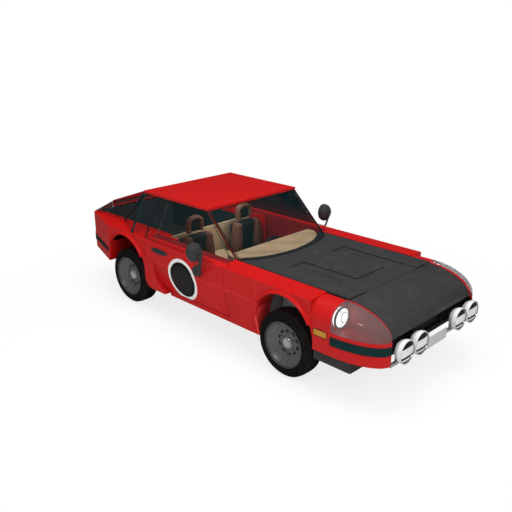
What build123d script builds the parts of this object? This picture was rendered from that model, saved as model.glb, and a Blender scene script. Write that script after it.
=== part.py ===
from build123d import *
import os
from math import sqrt

# A two-seat fastback sports coupe, modelled at full size in millimetres.
# +Z is up, the nose points along -Y and +X is the car's left side.
# The origin is on the ground, midway along the car's length and width.

os.makedirs("parts", exist_ok=True)

# ---------------------------------------------------------------- overall sizes
WHEELBASE = 2305
FRONT_OVERHANG = 1040  # front axle to the lens of the auxiliary lamps
REAR_OVERHANG = 920  # rear axle to the tail
LENGTH = FRONT_OVERHANG + WHEELBASE + REAR_OVERHANG
HALF_WIDTH = 836  # outer face of the body sides and tyres
FRONT_AXLE = FRONT_OVERHANG - LENGTH / 2
REAR_AXLE = FRONT_AXLE + WHEELBASE

# ---------------------------------------------------------------- heights
SHOULDER_Z = 823  # sharp edge along the top of the body sides
DECK_Z = 838  # top of the wings beside the bonnet, and foot of the glass
NOSE_Z = 826  # top of the wings and nose panel at the headlamps
CREASE_Z = 610  # seam at half height, and top of the bumpers
SKIRT_Z = 400  # lower edge of the bodywork ahead of and behind the wheels
SILL_Z = 252  # lower edge of the sides between the wheels
ROOF_Z = 1256
FLOOR_Z = 225  # underside of the floor pan

# ---------------------------------------------------------------- body plan
DECK_WIDTH = 208  # the flat top of the wings beside the bonnet and the glass
INNER_EDGE = HALF_WIDTH - DECK_WIDTH  # wings reach inward to here, the roof outward to here
SILL_TUCK = 76  # how far the sides lean inward at the sill
SILL_CROWN = 7  # how far the leaning side bulges from flat
TAIL_HALF = HALF_WIDTH - 176  # half width across the tail
TAIL_INNER = TAIL_HALF - 60  # inner face of the rear quarters at the tail
NACELLE_BACK = FRONT_AXLE - 300  # the square shoulder ends here
NACELLE_FACE = FRONT_AXLE - 510  # plane of the headlamps
NOSE_TIP = FRONT_AXLE - 945  # front edge of the nose panel
BUMPER_TIP = FRONT_AXLE - 960  # front face of the bumper at its inner end
TAIL_FACE = REAR_AXLE + REAR_OVERHANG - 12
LID_JOINT = FRONT_AXLE - 520  # bonnet meets the nose panel here
ENGINE_FRONT = NACELLE_FACE + 20  # panel that carries the radiator
COWL = FRONT_AXLE + 600  # bulkhead between engine bay and cabin
HEEL = REAR_AXLE - 420  # step up from the cabin floor to the load floor

# ---------------------------------------------------------------- glasshouse
ROOF_FRONT = FRONT_AXLE + 1177
ROOF_REAR = REAR_AXLE - 88
ROOF_THICK = 26
SCREEN_BASE = FRONT_AXLE + 565  # foot of the windscreen on the centre line
SCREEN_BOW = 257  # how far the windscreen's foot bows forward
DASH_REAR = FRONT_AXLE + 930
DASH_BOW = 318
PILLAR_FOOT = FRONT_AXLE + 775  # foot of the windscreen pillars
GLASS_THICK = 6
GLASS_FOOT_X = HALF_WIDTH - 14
GLASS_HEAD_X = INNER_EDGE - 6
PILLAR = 16  # thickness of the roof's pillars
LIGHT_HEAD = ROOF_FRONT + 30  # head of the quarterlights, clear of the pillars

# ---------------------------------------------------------------- wheels and arches
TYRE_R = 308
TYRE_WIDTH = 200
RIM_R = 212
ARCH_R = TYRE_R + 30
ARCH_Z = 445
LIP_R = ARCH_R + 32  # outer edge of the raised wheel-arch lips
LIP_STAND = 26  # how far the lips stand out from the body side
FRONT_ARCH = FRONT_AXLE + 5
REAR_ARCH = REAR_AXLE + 20
TAPER_START = REAR_ARCH + ARCH_R  # the rear corners narrow from here to the tail
WHEEL_RIM_R = 162  # steering wheel

# ---------------------------------------------------------------- doors and lids
DOOR_FRONT = PILLAR_FOOT - 25
DOOR_REAR = REAR_ARCH - ARCH_R - 19
DOOR_REAR_LOW = DOOR_REAR - 178  # below the crease the door is this much shorter
DOOR_LOW_Z = SILL_Z + 67  # lower edge of the door
CORNER_R = 199  # round lower rear corner of the door
DOOR_THICK = 170
HINGE_X = HALF_WIDTH - 36
DOOR_FLANGE_X = HINGE_X - 60  # the door's outer flange laps the opening outboard of here
HINGE_R = 60  # the door's front edge is rounded about the hinge by this radius
GAP = 7  # shut lines
PANEL = 22  # thickness of bonnet and nose panel
RELIEF = 14  # height of the bonnet's raised parts
WALL = 14  # thickness of the folded panels of the tub
TOW_EYE_R = 14
JACK_X = INNER_EDGE - 68  # jacking pads, from the middle of the car
NACELLE_R = 152  # rounding of the front wings round the headlamps
LAMP_R = 86
LAMP_OUT = 94  # middle of a headlamp, outboard of the wing's inner edge
LAMP_RISE = 101  # middle of a headlamp above the crease
AUX_LAMP_R = 100
AUX_LAMP_Z = 518
AUX_OUTER = INNER_EDGE - 101  # the outer pair of auxiliary lamps
AUX_INNER = AUX_OUTER - 215
BAR_Y = FRONT_AXLE - 948  # bar that carries the auxiliary lamps
BAR_Z = 398
BAR_HALF = 12  # half the thickness of that bar and of its posts
GRILLE_BACK = FRONT_AXLE - 846
GRILLE_THICK = 16
VENT_INNER = 250  # the grille's slatted openings run from here
VENT_OUTER = INNER_EDGE - 38  # to here
SLAT_PITCH = 24
SLAT_THICK = 6
SCOOP_HALF = 230
TAIL_LAMP_X = TAIL_INNER - 200  # middle of a tail lamp
TAIL_LAMP_HALF = 160
PLATE_HALF = TAIL_LAMP_X - TAIL_LAMP_HALF - 15  # the rear plate fits between the tail lamps
TAIL_LAMP_LOW = 640
TAIL_LAMP_HIGH = 780
GATE_FOOT_X = TAIL_INNER - 204  # half width of the tailgate at its foot
GATE_FOOT_Z = 922
GATE_LOW_Z = 846  # lower edge of the tailgate's upright foot
DAM_REACH = 710  # front face of the air dams, ahead of the front axle
DAM_Z = 305  # lower edge of the air dams
STRIP_LOW = 500  # rubber strip round the front and rear
STRIP_HIGH = 575
STRIP_DEEP = 10

WHEEL_X = HALF_WIDTH - TYRE_WIDTH / 2
HUB_DEPTH = 30  # wheel disc, outboard of the middle of the rim
SPINDLE_R = 20
KINGPIN_R = 9
KINGPIN_RISE = 110  # kingpin eyes above and below the wheel centre
SEAT = 0.3  # clearance where one piece rests on another
POST_X = INNER_EDGE - 28  # inner face of the posts that carry the windscreen pillars
HINGE_Y = DOOR_FRONT + sqrt(HINGE_R**2 - (HALF_WIDTH - HINGE_X) ** 2)


def block(x0, x1, y0, y1, z0, z1):
    """A box given by its limits on each axis."""
    box = Box(x1 - x0, y1 - y0, z1 - z0)
    return Pos((x0 + x1) / 2, (y0 + y1) / 2, (z0 + z1) / 2) * box


def across(outline, x0, x1):
    """Extrudes a closed side-view outline, drawn as (y, z), from x0 to x1."""
    face = Plane(origin=(x0, 0, 0), x_dir=(0, 1, 0), z_dir=(1, 0, 0)) * make_face(outline)
    return extrude(face, x1 - x0)


def along(outline, y0, y1):
    """Extrudes a closed cross-section, drawn as (x, z), from y0 to y1."""
    face = Plane(origin=(0, y0, 0), x_dir=(1, 0, 0), z_dir=(0, -1, 0)) * make_face(outline)
    return extrude(face, -(y1 - y0))


def upward(outline, z0, z1):
    """Extrudes a closed plan outline, drawn as (x, y), from z0 to z1."""
    return extrude(Plane.XY.offset(z0) * make_face(outline), z1 - z0)


def polygon(*points):
    return Polyline(*points, close=True)


def mirrored(part):
    return mirror(part, about=Plane.YZ)


def both(part):
    """The left-hand piece together with its right-hand twin."""
    return Compound(children=[*part.solids(), *mirrored(part).solids()])


def pane(points, depth):
    """A flat sheet on a polygon of space points, thickened by the vector depth."""
    return extrude(Face(Wire.make_polygon([Vector(*p) for p in points])), dir=depth, amount=Vector(*depth).length)


def strut(foot, head, size):
    """A square bar whose foot and head are level, leaning from foot to head."""
    base = Pos(*foot) * Rectangle(size, size)
    run = Vector(*head) - Vector(*foot)
    return extrude(base, dir=run, amount=run.length)


def save(name, part):
    export_step(part, f"parts/{name}.step")


# ================================================================ body sides
def side_section(x_in=INNER_EDGE):
    """Cross-section of a body side, square-shouldered and leaning in below the crease."""
    low_x = HALF_WIDTH - SILL_TUCK
    mid = (HALF_WIDTH - SILL_TUCK / 2 + SILL_CROWN, (CREASE_Z + SILL_Z) / 2)
    return (
        Line((x_in, DECK_Z), (HALF_WIDTH, SHOULDER_Z))
        + Line((HALF_WIDTH, SHOULDER_Z), (HALF_WIDTH, CREASE_Z))
        + ThreePointArc((HALF_WIDTH, CREASE_Z), mid, (low_x, SILL_Z))
        + Line((low_x, SILL_Z), (x_in, SILL_Z))
        + Line((x_in, SILL_Z), (x_in, DECK_Z))
    )


def straight_section(z_low, x_in=INNER_EDGE):
    """Cross-section of the upright body side ahead of and behind the wheels."""
    return polygon((x_in, DECK_Z), (HALF_WIDTH, SHOULDER_Z), (HALF_WIDTH, z_low), (x_in, z_low))


def nacelle_outline(x_out, z_top, z_low, inset=0):
    """Cross-section of a front corner, its upper outer edge rounded."""
    reach = x_out - inset - INNER_EDGE
    rise = z_top - inset - CREASE_Z
    r = min(NACELLE_R - inset, 0.75 * reach, 0.75 * rise)
    x_out = INNER_EDGE + reach
    z_top = CREASE_Z + rise
    knee = (1 - sqrt(0.5)) * r
    return (
        Line((INNER_EDGE, z_low), (INNER_EDGE, z_top))
        + Line((INNER_EDGE, z_top), (x_out - r, z_top))
        + ThreePointArc((x_out - r, z_top), (x_out - knee, z_top - knee), (x_out, z_top - r))
        + Line((x_out, z_top - r), (x_out, z_low))
        + Line((x_out, z_low), (INNER_EDGE, z_low))
    )


def arch_cut(y):
    """Space for a wheel: a round-topped opening through the body side."""
    across_x = (INNER_EDGE - 60, HALF_WIDTH + 80)
    length = across_x[1] - across_x[0]
    round_top = Pos((across_x[0] + across_x[1]) / 2, y, ARCH_Z) * Rot(0, 90, 0) * Cylinder(ARCH_R, length)
    return round_top + block(*across_x, y - ARCH_R, y + ARCH_R, 0, ARCH_Z)


def arch_lip(y):
    """The raised lip round a wheel arch, from the crease upward."""
    outline = polygon(
        (ARCH_R, HALF_WIDTH - 30),
        (ARCH_R, HALF_WIDTH + LIP_STAND),
        (ARCH_R + 12, HALF_WIDTH + LIP_STAND),
        (LIP_R, HALF_WIDTH + 2),
        (LIP_R, HALF_WIDTH - 30),
    )
    ring = revolve(Plane.XZ * make_face(outline), Axis.Z, 360)
    ring = Pos(0, y, ARCH_Z) * Rot(0, 90, 0) * ring
    keep = block(0, HALF_WIDTH + 100, y - 500, y + 500, CREASE_Z, 1000)
    return ring & keep


def door_side_outline(grow):
    """Side view of the door, drawn as (y, z), its edges moved out by grow."""
    front = DOOR_FRONT - 200
    rear = DOOR_REAR + grow
    top = 1000
    crease = CREASE_Z - grow
    bend = CORNER_R + grow
    centre = (DOOR_REAR_LOW - 177, DOOR_LOW_Z + CORNER_R)
    start = (centre[0] + sqrt(bend**2 - (crease - centre[1]) ** 2), crease)
    mid = (centre[0] + bend * sqrt(0.5), centre[1] - bend * sqrt(0.5))
    low = (centre[0], centre[1] - bend)
    return (
        Line((front, top), (rear, top))
        + Line((rear, top), (rear, crease))
        + Line((rear, crease), start)
        + ThreePointArc(start, mid, low)
        + Line(low, (front, low[1]))
        + Line((front, low[1]), (front, top))
    )


def door_space(grow):
    """Everything a left door may fill, with its front edge rounded about the hinge."""
    x_in = HALF_WIDTH - DOOR_THICK - grow
    x_out = HALF_WIDTH + 60
    tall = across(door_side_outline(grow), DOOR_FLANGE_X, x_out)
    tall = tall + across(door_side_outline(grow), x_in, DOOR_FLANGE_X)
    behind = block(0, x_out, HINGE_Y - grow, DOOR_REAR + 100, 0, 1100)
    nose = Pos(HINGE_X, HINGE_Y, 500) * Cylinder(HINGE_R + grow, 1200)
    return tall & (behind + nose)


def door_flange_cut():
    """The strip taken off the door's inner box so that it swings clear of the opening."""
    swing = DOOR_THICK**2 / (DOOR_REAR_LOW - HINGE_Y) / 2
    inner = across(door_side_outline(1), HALF_WIDTH - DOOR_THICK - 1, DOOR_FLANGE_X)
    return inner - across(door_side_outline(-swing), 0, HALF_WIDTH)


def front_fender():
    rear = DOOR_FRONT + 140
    upper = along(straight_section(CREASE_Z), NACELLE_BACK, rear)
    ahead = along(straight_section(SKIRT_Z), NACELLE_BACK, FRONT_ARCH)
    behind = along(side_section(), FRONT_ARCH, rear)
    nacelle = along(nacelle_outline(HALF_WIDTH, NOSE_Z, SKIRT_Z), NACELLE_FACE, NACELLE_BACK)
    wing = upper + ahead + behind + nacelle - arch_cut(FRONT_ARCH)
    wing = wing + arch_lip(FRONT_ARCH)
    wall = across(nose_side_outline(0), INNER_EDGE - WALL, INNER_EDGE)
    wing = wing + (wall - block(0, 1000, LID_JOINT - GAP / 2, COWL, NOSE_Z - 50, 1000))
    return wing - door_space(GAP) - block(0, 1000, DOOR_FRONT + 50, rear + 10, 0, 1000)


def nose_side_outline(inset):
    """Side view of the nose's rounded edge, drawn as (y, z), back to the nacelle."""
    back = ENGINE_FRONT
    run = NACELLE_FACE - NOSE_TIP
    rise = NOSE_Z - CREASE_Z - inset
    return (
        EllipticalCenterArc((NACELLE_FACE, CREASE_Z), run, rise, start_angle=90, arc_size=90)
        + Line((NOSE_TIP, CREASE_Z), (back, CREASE_Z))
        + Line((back, CREASE_Z), (back, NOSE_Z - inset))
        + Line((back, NOSE_Z - inset), (NACELLE_FACE, NOSE_Z - inset))
    )


def rear_quarter():
    """The body side round a rear wheel, flat to its foot, with the door's seal."""
    front_end = DOOR_REAR_LOW - 140
    foot_z = SILL_Z + 33
    corner_r = 120
    plan = polygon(
        (INNER_EDGE, front_end),
        (HALF_WIDTH, front_end),
        (HALF_WIDTH, TAPER_START),
        (TAIL_HALF, TAIL_FACE),
        (TAIL_INNER, TAIL_FACE),
        (INNER_EDGE, TAPER_START),
    )
    footprint = upward(plan, 0, 1000)
    front = along(straight_section(foot_z), front_end, REAR_ARCH)
    back = along(straight_section(SKIRT_Z, TAIL_INNER), REAR_ARCH, TAIL_FACE)
    quarter = (front + back) & footprint
    quarter = quarter - arch_cut(REAR_ARCH)
    arch_edge = REAR_ARCH - ARCH_R
    square = block(0, 1000, arch_edge - corner_r, arch_edge + 1, foot_z - 1, foot_z + corner_r)
    round_corner = Pos(500, arch_edge - corner_r, foot_z + corner_r) * Rot(0, 90, 0) * Cylinder(corner_r, 1000)
    quarter = quarter - (square - round_corner) + arch_lip(REAR_ARCH) - door_space(GAP)
    seal_x = DOOR_FLANGE_X - SEAT
    seal = block(seal_x - 16, seal_x, DOOR_REAR - 3, DOOR_REAR + GAP + 1, CREASE_Z + 30, SHOULDER_Z - 30)
    return quarter + seal


def sill():
    """The body side below the door, and the step inside it."""
    bar = along(side_section(INNER_EDGE - 20), DOOR_FRONT + 50, DOOR_REAR_LOW - 140)
    return bar & block(0, 1000, DOOR_FRONT + 50, DOOR_REAR_LOW, 0, DOOR_LOW_Z - GAP)


def door():
    body = along(side_section(), DOOR_FRONT - 100, DOOR_REAR + 20)
    return (body & door_space(0)) - door_flange_cut()


# ================================================================ nose and tail
def nose_panel():
    half = INNER_EDGE - WALL
    level = NOSE_Z
    outer = across(nose_side_outline(0), -half, half)
    back = LID_JOINT - GAP / 2
    skin_cut = across(nose_side_outline(PANEL), -half - 1, half + 1)
    skin_cut = Pos(0, PANEL, 0) * skin_cut
    shell = outer - skin_cut
    lip = block(-half, half, NOSE_TIP, NOSE_TIP + 30, CREASE_Z + 8, CREASE_Z + 46)
    keep = block(-half, half, NOSE_TIP - 10, back, CREASE_Z + 8, level + 10)
    return (shell + lip) & keep


def corner_plan(grow=0):
    """Plan outline of a front corner ahead of the headlamp plane."""
    rx = HALF_WIDTH - INNER_EDGE + grow
    ry = NACELLE_FACE - BUMPER_TIP + grow
    return (
        EllipticalCenterArc((INNER_EDGE, NACELLE_FACE), rx, ry, start_angle=-90, arc_size=90)
        + Line((INNER_EDGE + rx, NACELLE_FACE), (INNER_EDGE, NACELLE_FACE))
        + Line((INNER_EDGE, NACELLE_FACE), (INNER_EDGE, NACELLE_FACE - ry))
    )


def front_bumper():
    corner = upward(corner_plan(), SKIRT_Z, CREASE_Z)
    groove = upward(corner_plan(5), STRIP_LOW, STRIP_HIGH) - upward(corner_plan(-STRIP_DEEP), 0, 1000)
    return corner - groove


def front_strip():
    outer = upward(corner_plan(3), STRIP_LOW, STRIP_HIGH)
    inner = upward(corner_plan(-STRIP_DEEP), 0, 1000)
    return (outer - inner) & block(INNER_EDGE + 1, 1000, BUMPER_TIP - 20, NACELLE_FACE - 1, 0, 1000)


def headlamp_cover():
    """The clear shell that carries the wing's rounding forward to the nose."""
    depth = NACELLE_FACE - BUMPER_TIP
    shares = [0, 0.3, 0.55, 0.75, 0.9, 0.985]

    def shell(inset):
        sections = []
        for share in shares:
            swell = sqrt(1 - share**2)
            x_out = INNER_EDGE + (HALF_WIDTH - INNER_EDGE) * swell
            z_top = CREASE_Z + (NOSE_Z - CREASE_Z) * swell
            outline = nacelle_outline(x_out, z_top, CREASE_Z, inset)
            plane = Plane(origin=(0, NACELLE_FACE - depth * share, 0), x_dir=(1, 0, 0), z_dir=(0, -1, 0))
            sections.append(plane * make_face(outline))
        return loft(sections)

    inner = Pos(0, 4, 0) * shell(5) - block(0, 1000, NACELLE_FACE, NACELLE_FACE + 10, 0, 1000)
    return shell(0) - inner


def headlamp():
    """Round lamp unit with a domed lens, set in the flat face of the wing."""
    bowl = Cylinder(LAMP_R, 24)
    dome_r = 180
    rise = 22
    dome = Pos(0, 0, 12 + rise - dome_r) * Sphere(dome_r) & Pos(0, 0, 12 + rise) * Cylinder(LAMP_R - 6, 2 * rise)
    centre = (INNER_EDGE + LAMP_OUT, NACELLE_FACE - 12, CREASE_Z + LAMP_RISE)
    return Pos(*centre) * Rot(90, 0, 0) * (bowl + dome)


def lamp_drum():
    """Body of an auxiliary lamp, its open front at z = 0 and its back above."""
    back_z = 92
    recess = 14
    profile = (
        Line((0, back_z), (40, back_z))
        + Spline((40, back_z), (82, 66), (AUX_LAMP_R, 22))
        + Line((AUX_LAMP_R, 22), (AUX_LAMP_R, 0))
        + Line((AUX_LAMP_R, 0), (AUX_LAMP_R - 7, 0))
        + Line((AUX_LAMP_R - 7, 0), (AUX_LAMP_R - 7, recess))
        + Line((AUX_LAMP_R - 7, recess), (0, recess))
        + Line((0, recess), (0, back_z))
    )
    return revolve(Plane.XZ * make_face(profile), Axis.Z, 360)


def auxiliary_lamps():
    """Four lamps on posts from one bar across the front."""
    back = BAR_Y + BAR_HALF
    front = BAR_Y - BAR_HALF
    whole = block(-INNER_EDGE, INNER_EDGE, front, back, BAR_Z - BAR_HALF, BAR_Z + BAR_HALF)
    for x in (-AUX_OUTER, -AUX_INNER, AUX_INNER, AUX_OUTER):
        drum = Pos(x, FRONT_AXLE - FRONT_OVERHANG, AUX_LAMP_Z) * Rot(-90, 0, 0) * lamp_drum()
        post = block(x - BAR_HALF, x + BAR_HALF, front, back, BAR_Z, AUX_LAMP_Z - 20)
        bolt = Pos(x, BAR_Y, BAR_Z - 16) * Cylinder(9, 10)
        whole = whole + drum + post + bolt
    return whole


def grille():
    """Dark panel behind the lamps: a slatted opening above, a scoop in the middle."""
    back = GRILLE_BACK
    face = back - GRILLE_THICK
    vent_low = SKIRT_Z + 40
    vent_high = CREASE_Z - 30
    panel = block(-INNER_EDGE, INNER_EDGE, face, back, SKIRT_Z, CREASE_Z)
    for side in (-1, 1):
        x0, x1 = sorted((side * VENT_INNER, side * VENT_OUTER))
        panel = panel - block(x0, x1, face - 1, back + 1, vent_low, vent_high)
        for z in range(vent_low + 20, vent_high, SLAT_PITCH):
            panel = panel + block(x0 - 1, x1 + 1, back - 12, back - 4, z, z + SLAT_THICK)
    scoop_low = SKIRT_Z + 70
    scoop = block(-SCOOP_HALF, SCOOP_HALF, face - 40, face, scoop_low, CREASE_Z)
    mouth = SCOOP_HALF - WALL
    return panel + scoop - block(-mouth, mouth, face - 41, face - WALL, scoop_low + WALL, CREASE_Z - WALL)


def number_plates():
    """Blank plates: one on the lamp bar, one on the tail."""
    front = block(-PLATE_HALF, PLATE_HALF, BAR_Y - BAR_HALF - 3, BAR_Y - BAR_HALF, 350, 450)
    rear = block(-PLATE_HALF, PLATE_HALF, TAIL_FACE, TAIL_FACE + 3, 610, 720)
    return Compound(children=[front, rear])


def air_dam():
    """Deep lip hung below the wing and bumper, ahead of a front wheel."""
    outer = HALF_WIDTH - 22
    dam = block(INNER_EDGE, outer, FRONT_AXLE - DAM_REACH, FRONT_ARCH - ARCH_R, DAM_Z, SKIRT_Z)
    front_corner = dam.edges().filter_by(Axis.Z).group_by(Axis.Y)[0].group_by(Axis.X)[-1]
    return fillet(front_corner, 14)


def tail_panel():
    half = TAIL_INNER
    panel = block(-half, half, TAIL_FACE - 30, TAIL_FACE, SKIRT_Z, DECK_Z - 10)
    wide = TAIL_LAMP_HALF
    for x in (-TAIL_LAMP_X, TAIL_LAMP_X):
        panel = panel - block(x - wide, x + wide, TAIL_FACE - 14, TAIL_FACE + 1, TAIL_LAMP_LOW, TAIL_LAMP_HIGH)
    stop_x = GATE_FOOT_X - 56
    for x in (-stop_x, stop_x):
        panel = panel + block(x - 15, x + 15, TAIL_FACE - 26, TAIL_FACE - 12, DECK_Z - 12, GATE_LOW_Z - SEAT)
    return panel


def tail_lamps():
    wide = TAIL_LAMP_HALF - 1
    x = TAIL_LAMP_X
    return both(block(x - wide, x + wide, TAIL_FACE - 14, TAIL_FACE + 2, TAIL_LAMP_LOW + 1, TAIL_LAMP_HIGH - 1))


def rear_bumper():
    return block(-TAIL_HALF, TAIL_HALF, TAIL_FACE, TAIL_FACE + 12, STRIP_LOW - 20, STRIP_HIGH + 5)


# ================================================================ roof and glass
def roof():
    panel = block(-INNER_EDGE, INNER_EDGE, ROOF_FRONT, ROOF_REAR, ROOF_Z - ROOF_THICK, ROOF_Z)
    under = ROOF_Z - ROOF_THICK
    legs = [
        strut((INNER_EDGE - 4, PILLAR_FOOT + 11, DECK_Z), (INNER_EDGE - 11, ROOF_FRONT + 11, under), PILLAR),
        strut((GLASS_FOOT_X - 4, ROOF_REAR, SHOULDER_Z + 2), (INNER_EDGE - 16, ROOF_REAR - 12, under), PILLAR),
        strut((INNER_EDGE + 6, REAR_AXLE + 305, DECK_Z), (INNER_EDGE - 11, ROOF_REAR - 11, under), PILLAR),
    ]
    for leg in legs:
        panel = panel + leg + mirrored(leg)
    return panel


def bowed_plan(rear, bow, half, reach):
    """Front edge of the screen in plan, part of an ellipse bowing forward by bow."""
    side = rear - bow * sqrt(1 - (half / reach) ** 2)
    lean = half / sqrt(2)
    shoulder = rear - bow * sqrt(1 - (lean / reach) ** 2)
    front = Spline((-half, side), (-lean, shoulder), (0, rear - bow), (lean, shoulder), (half, side))
    return front, side


def screen_strip(z, rear, bow, half, reach):
    """Level slice of the windscreen."""
    front, side = bowed_plan(rear, bow, half, reach)
    back = Pos(0, GLASS_THICK, 0) * front
    right = Line((half, side), (half, side + GLASS_THICK))
    left = Line((-half, side + GLASS_THICK), (-half, side))
    return Plane.XY.offset(z) * make_face(front + right + back + left)


def windscreen():
    foot = screen_strip(DECK_Z, SCREEN_BASE + SCREEN_BOW, SCREEN_BOW, INNER_EDGE - 16, INNER_EDGE)
    head = screen_strip(ROOF_Z - ROOF_THICK, ROOF_FRONT + 4, 10, INNER_EDGE - 23, INNER_EDGE)
    return loft([foot, head], ruled=True)


def side_plane_point(y, share, inset=0):
    """A point on the leaning side glass: share 0 at its foot, 1 at its head."""
    x = GLASS_FOOT_X + (GLASS_HEAD_X - GLASS_FOOT_X) * share - inset
    z = SHOULDER_Z + GLASS_LIFT + (ROOF_Z - ROOF_THICK - 6 - SHOULDER_Z - GLASS_LIFT) * share
    return (x, y, z)


IN = (-GLASS_THICK * 0.9, 0, -GLASS_THICK * 0.45)
GLASS_LIFT = 4.5


def door_glass():
    """The main pane and, ahead of it, the fixed triangular quarterlight."""
    main = pane(
        [
            side_plane_point(FRONT_AXLE + 1062, 0),
            side_plane_point(LIGHT_HEAD + 4, 1),
            side_plane_point(DOOR_REAR - 30, 1),
            side_plane_point(DOOR_REAR - 6, 0),
        ],
        IN,
    )
    quarterlight = pane(
        [
            (HALF_WIDTH - DOOR_THICK + 10, PILLAR_FOOT + 60, DECK_Z + 3),
            side_plane_point(LIGHT_HEAD, 0.985),
            side_plane_point(FRONT_AXLE + 1058, 0),
        ],
        IN,
    )
    return Compound(children=[main, quarterlight])


def side_windows():
    foot_z = DECK_Z + 2.2
    head = ROOF_Z - ROOF_THICK - 1
    middle = pane(
        [
            side_plane_point(DOOR_REAR + 8, 0),
            side_plane_point(DOOR_REAR + 0, 1),
            side_plane_point(ROOF_REAR - 30, 1),
            side_plane_point(ROOF_REAR - 12, 0),
        ],
        IN,
    )
    corner = pane(
        [
            side_plane_point(ROOF_REAR + 14, 0.02),
            (INNER_EDGE - 2, ROOF_REAR + 2, head),
            (INNER_EDGE + 16, REAR_AXLE + 296, foot_z),
        ],
        IN,
    )
    apex = (INNER_EDGE - 8, ROOF_REAR + 20, head)
    foot = (INNER_EDGE - 4, REAR_AXLE + 330, foot_z)
    tail = (TAIL_HALF - 8, TAIL_FACE - 8, foot_z)
    crest = (GATE_FOOT_X + 12, TAIL_FACE - 8, GATE_FOOT_Z - 10)
    low = (GATE_FOOT_X + 12, TAIL_FACE - 8, foot_z)
    upper = pane([apex, foot, tail], (-5, 0, -3)) + pane([apex, tail, crest], (-5, 0, -3))
    upper = upper + pane([tail, crest, low], (0, -GLASS_THICK, 0))
    panes = [middle, corner, upper]
    frame = roof()
    return both(Compound(children=[solid for item in panes for solid in (item - frame).solids()]))


REBATE = 15  # width of the tailgate's rim outside its glass


def tailgate_outline(inset):
    """Corners of the tailgate, moved inward by inset."""
    run = TAIL_FACE - 8 - ROOF_REAR - 6
    head_y = ROOF_REAR + 6 + inset
    slope = (ROOF_Z - 6 - GATE_FOOT_Z) / run
    head_z = ROOF_Z - 6 - slope * inset
    foot_y = TAIL_FACE - 8 - inset
    foot_z = GATE_FOOT_Z + slope * inset
    narrow = (INNER_EDGE - 20 - GATE_FOOT_X) / run
    head_x = INNER_EDGE - 20 - narrow * inset - inset
    foot_x = GATE_FOOT_X + narrow * inset - inset
    return [
        (-head_x, head_y, head_z),
        (head_x, head_y, head_z),
        (foot_x, foot_y, foot_z),
        (-foot_x, foot_y, foot_z),
    ]


def tailgate():
    ring = pane(tailgate_outline(0), (0, 0, -16)) - pane(tailgate_outline(REBATE + 9), (0, 0, -60))
    ring = ring - pane(tailgate_outline(REBATE), (0, 0, -GLASS_THICK - SEAT))
    half = GATE_FOOT_X
    back = block(-half, half, TAIL_FACE - 20, TAIL_FACE - 8, GATE_LOW_Z, GATE_FOOT_Z)
    window = block(-half + 20, half - 20, TAIL_FACE - 30, TAIL_FACE, GATE_LOW_Z + 16, GATE_FOOT_Z - 20)
    return ring + (back - window)


def tailgate_glass():
    return pane(tailgate_outline(REBATE + SEAT), (0, 0, -GLASS_THICK))


# ================================================================ bonnet
RAISED_X = 402  # inner edge of the bonnet's raised sides
BULGE_X = 209  # half width of its raised middle
SLOT_X = 312  # inner edge of each heat slot
SLOT_WIDE = 12
SLOT_DEEP = 6
SLOT_FRONT = FRONT_AXLE - 225
SLOT_REAR = FRONT_AXLE + 290


def bowed_plate(rear, bow, half, reach, back, z0, z1):
    """Level plate from a bowed front edge back to a straight rear edge."""
    bowed = extrude(Pos(0, rear, z0) * Ellipse(reach, bow), z1 - z0)
    front_half = bowed & block(-half, half, rear - bow - 1, rear, z0, z1)
    return front_half + block(-half, half, rear - 1, back, z0, z1)


def bonnet():
    """Lid with two long raised sides, a raised middle and a slot each side of it."""
    half = INNER_EDGE - GAP
    valley = DECK_Z - RELIEF
    underside = valley - PANEL + 4
    front = LID_JOINT + GAP / 2
    rear = SCREEN_BASE + SCREEN_BOW - 12
    behind = bowed_plate(rear, SCREEN_BOW, half + 1, INNER_EDGE + 2, rear + 10, underside - 1, DECK_Z + 1)
    base = block(-half, half, front, PILLAR_FOOT, underside, valley) - behind
    raised = block(-half, half, front, PILLAR_FOOT, valley, DECK_Z) - behind
    valley_rear = FRONT_AXLE + 314
    bulge_front = FRONT_AXLE - 294
    for side in (-1, 1):
        x0, x1 = sorted((side * BULGE_X, side * RAISED_X))
        raised = raised - block(x0, x1, front - 5, valley_rear, valley, DECK_Z + 5)
    raised = raised - block(-RAISED_X, RAISED_X, front - 5, bulge_front, valley, DECK_Z + 5)
    lid = base + raised
    for side in (-1, 1):
        x0, x1 = sorted((side * SLOT_X, side * (SLOT_X + SLOT_WIDE)))
        lid = lid - block(x0, x1, SLOT_FRONT, SLOT_REAR, valley - SLOT_DEEP, valley + 1)
    return lid


# ================================================================ structure
FLOOR_THICK = 16
LOAD_Z = 440  # top of the load floor
SHELF_Z = DECK_Z - 46  # top of the inner wings
TUNNEL_HALF = 120
TUNNEL_Z = 420
BAY_X = INNER_EDGE - 188  # inner faces of the engine bay's side walls
WELL_X = INNER_EDGE - 128  # inner faces of the rear wheelhouses


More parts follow.
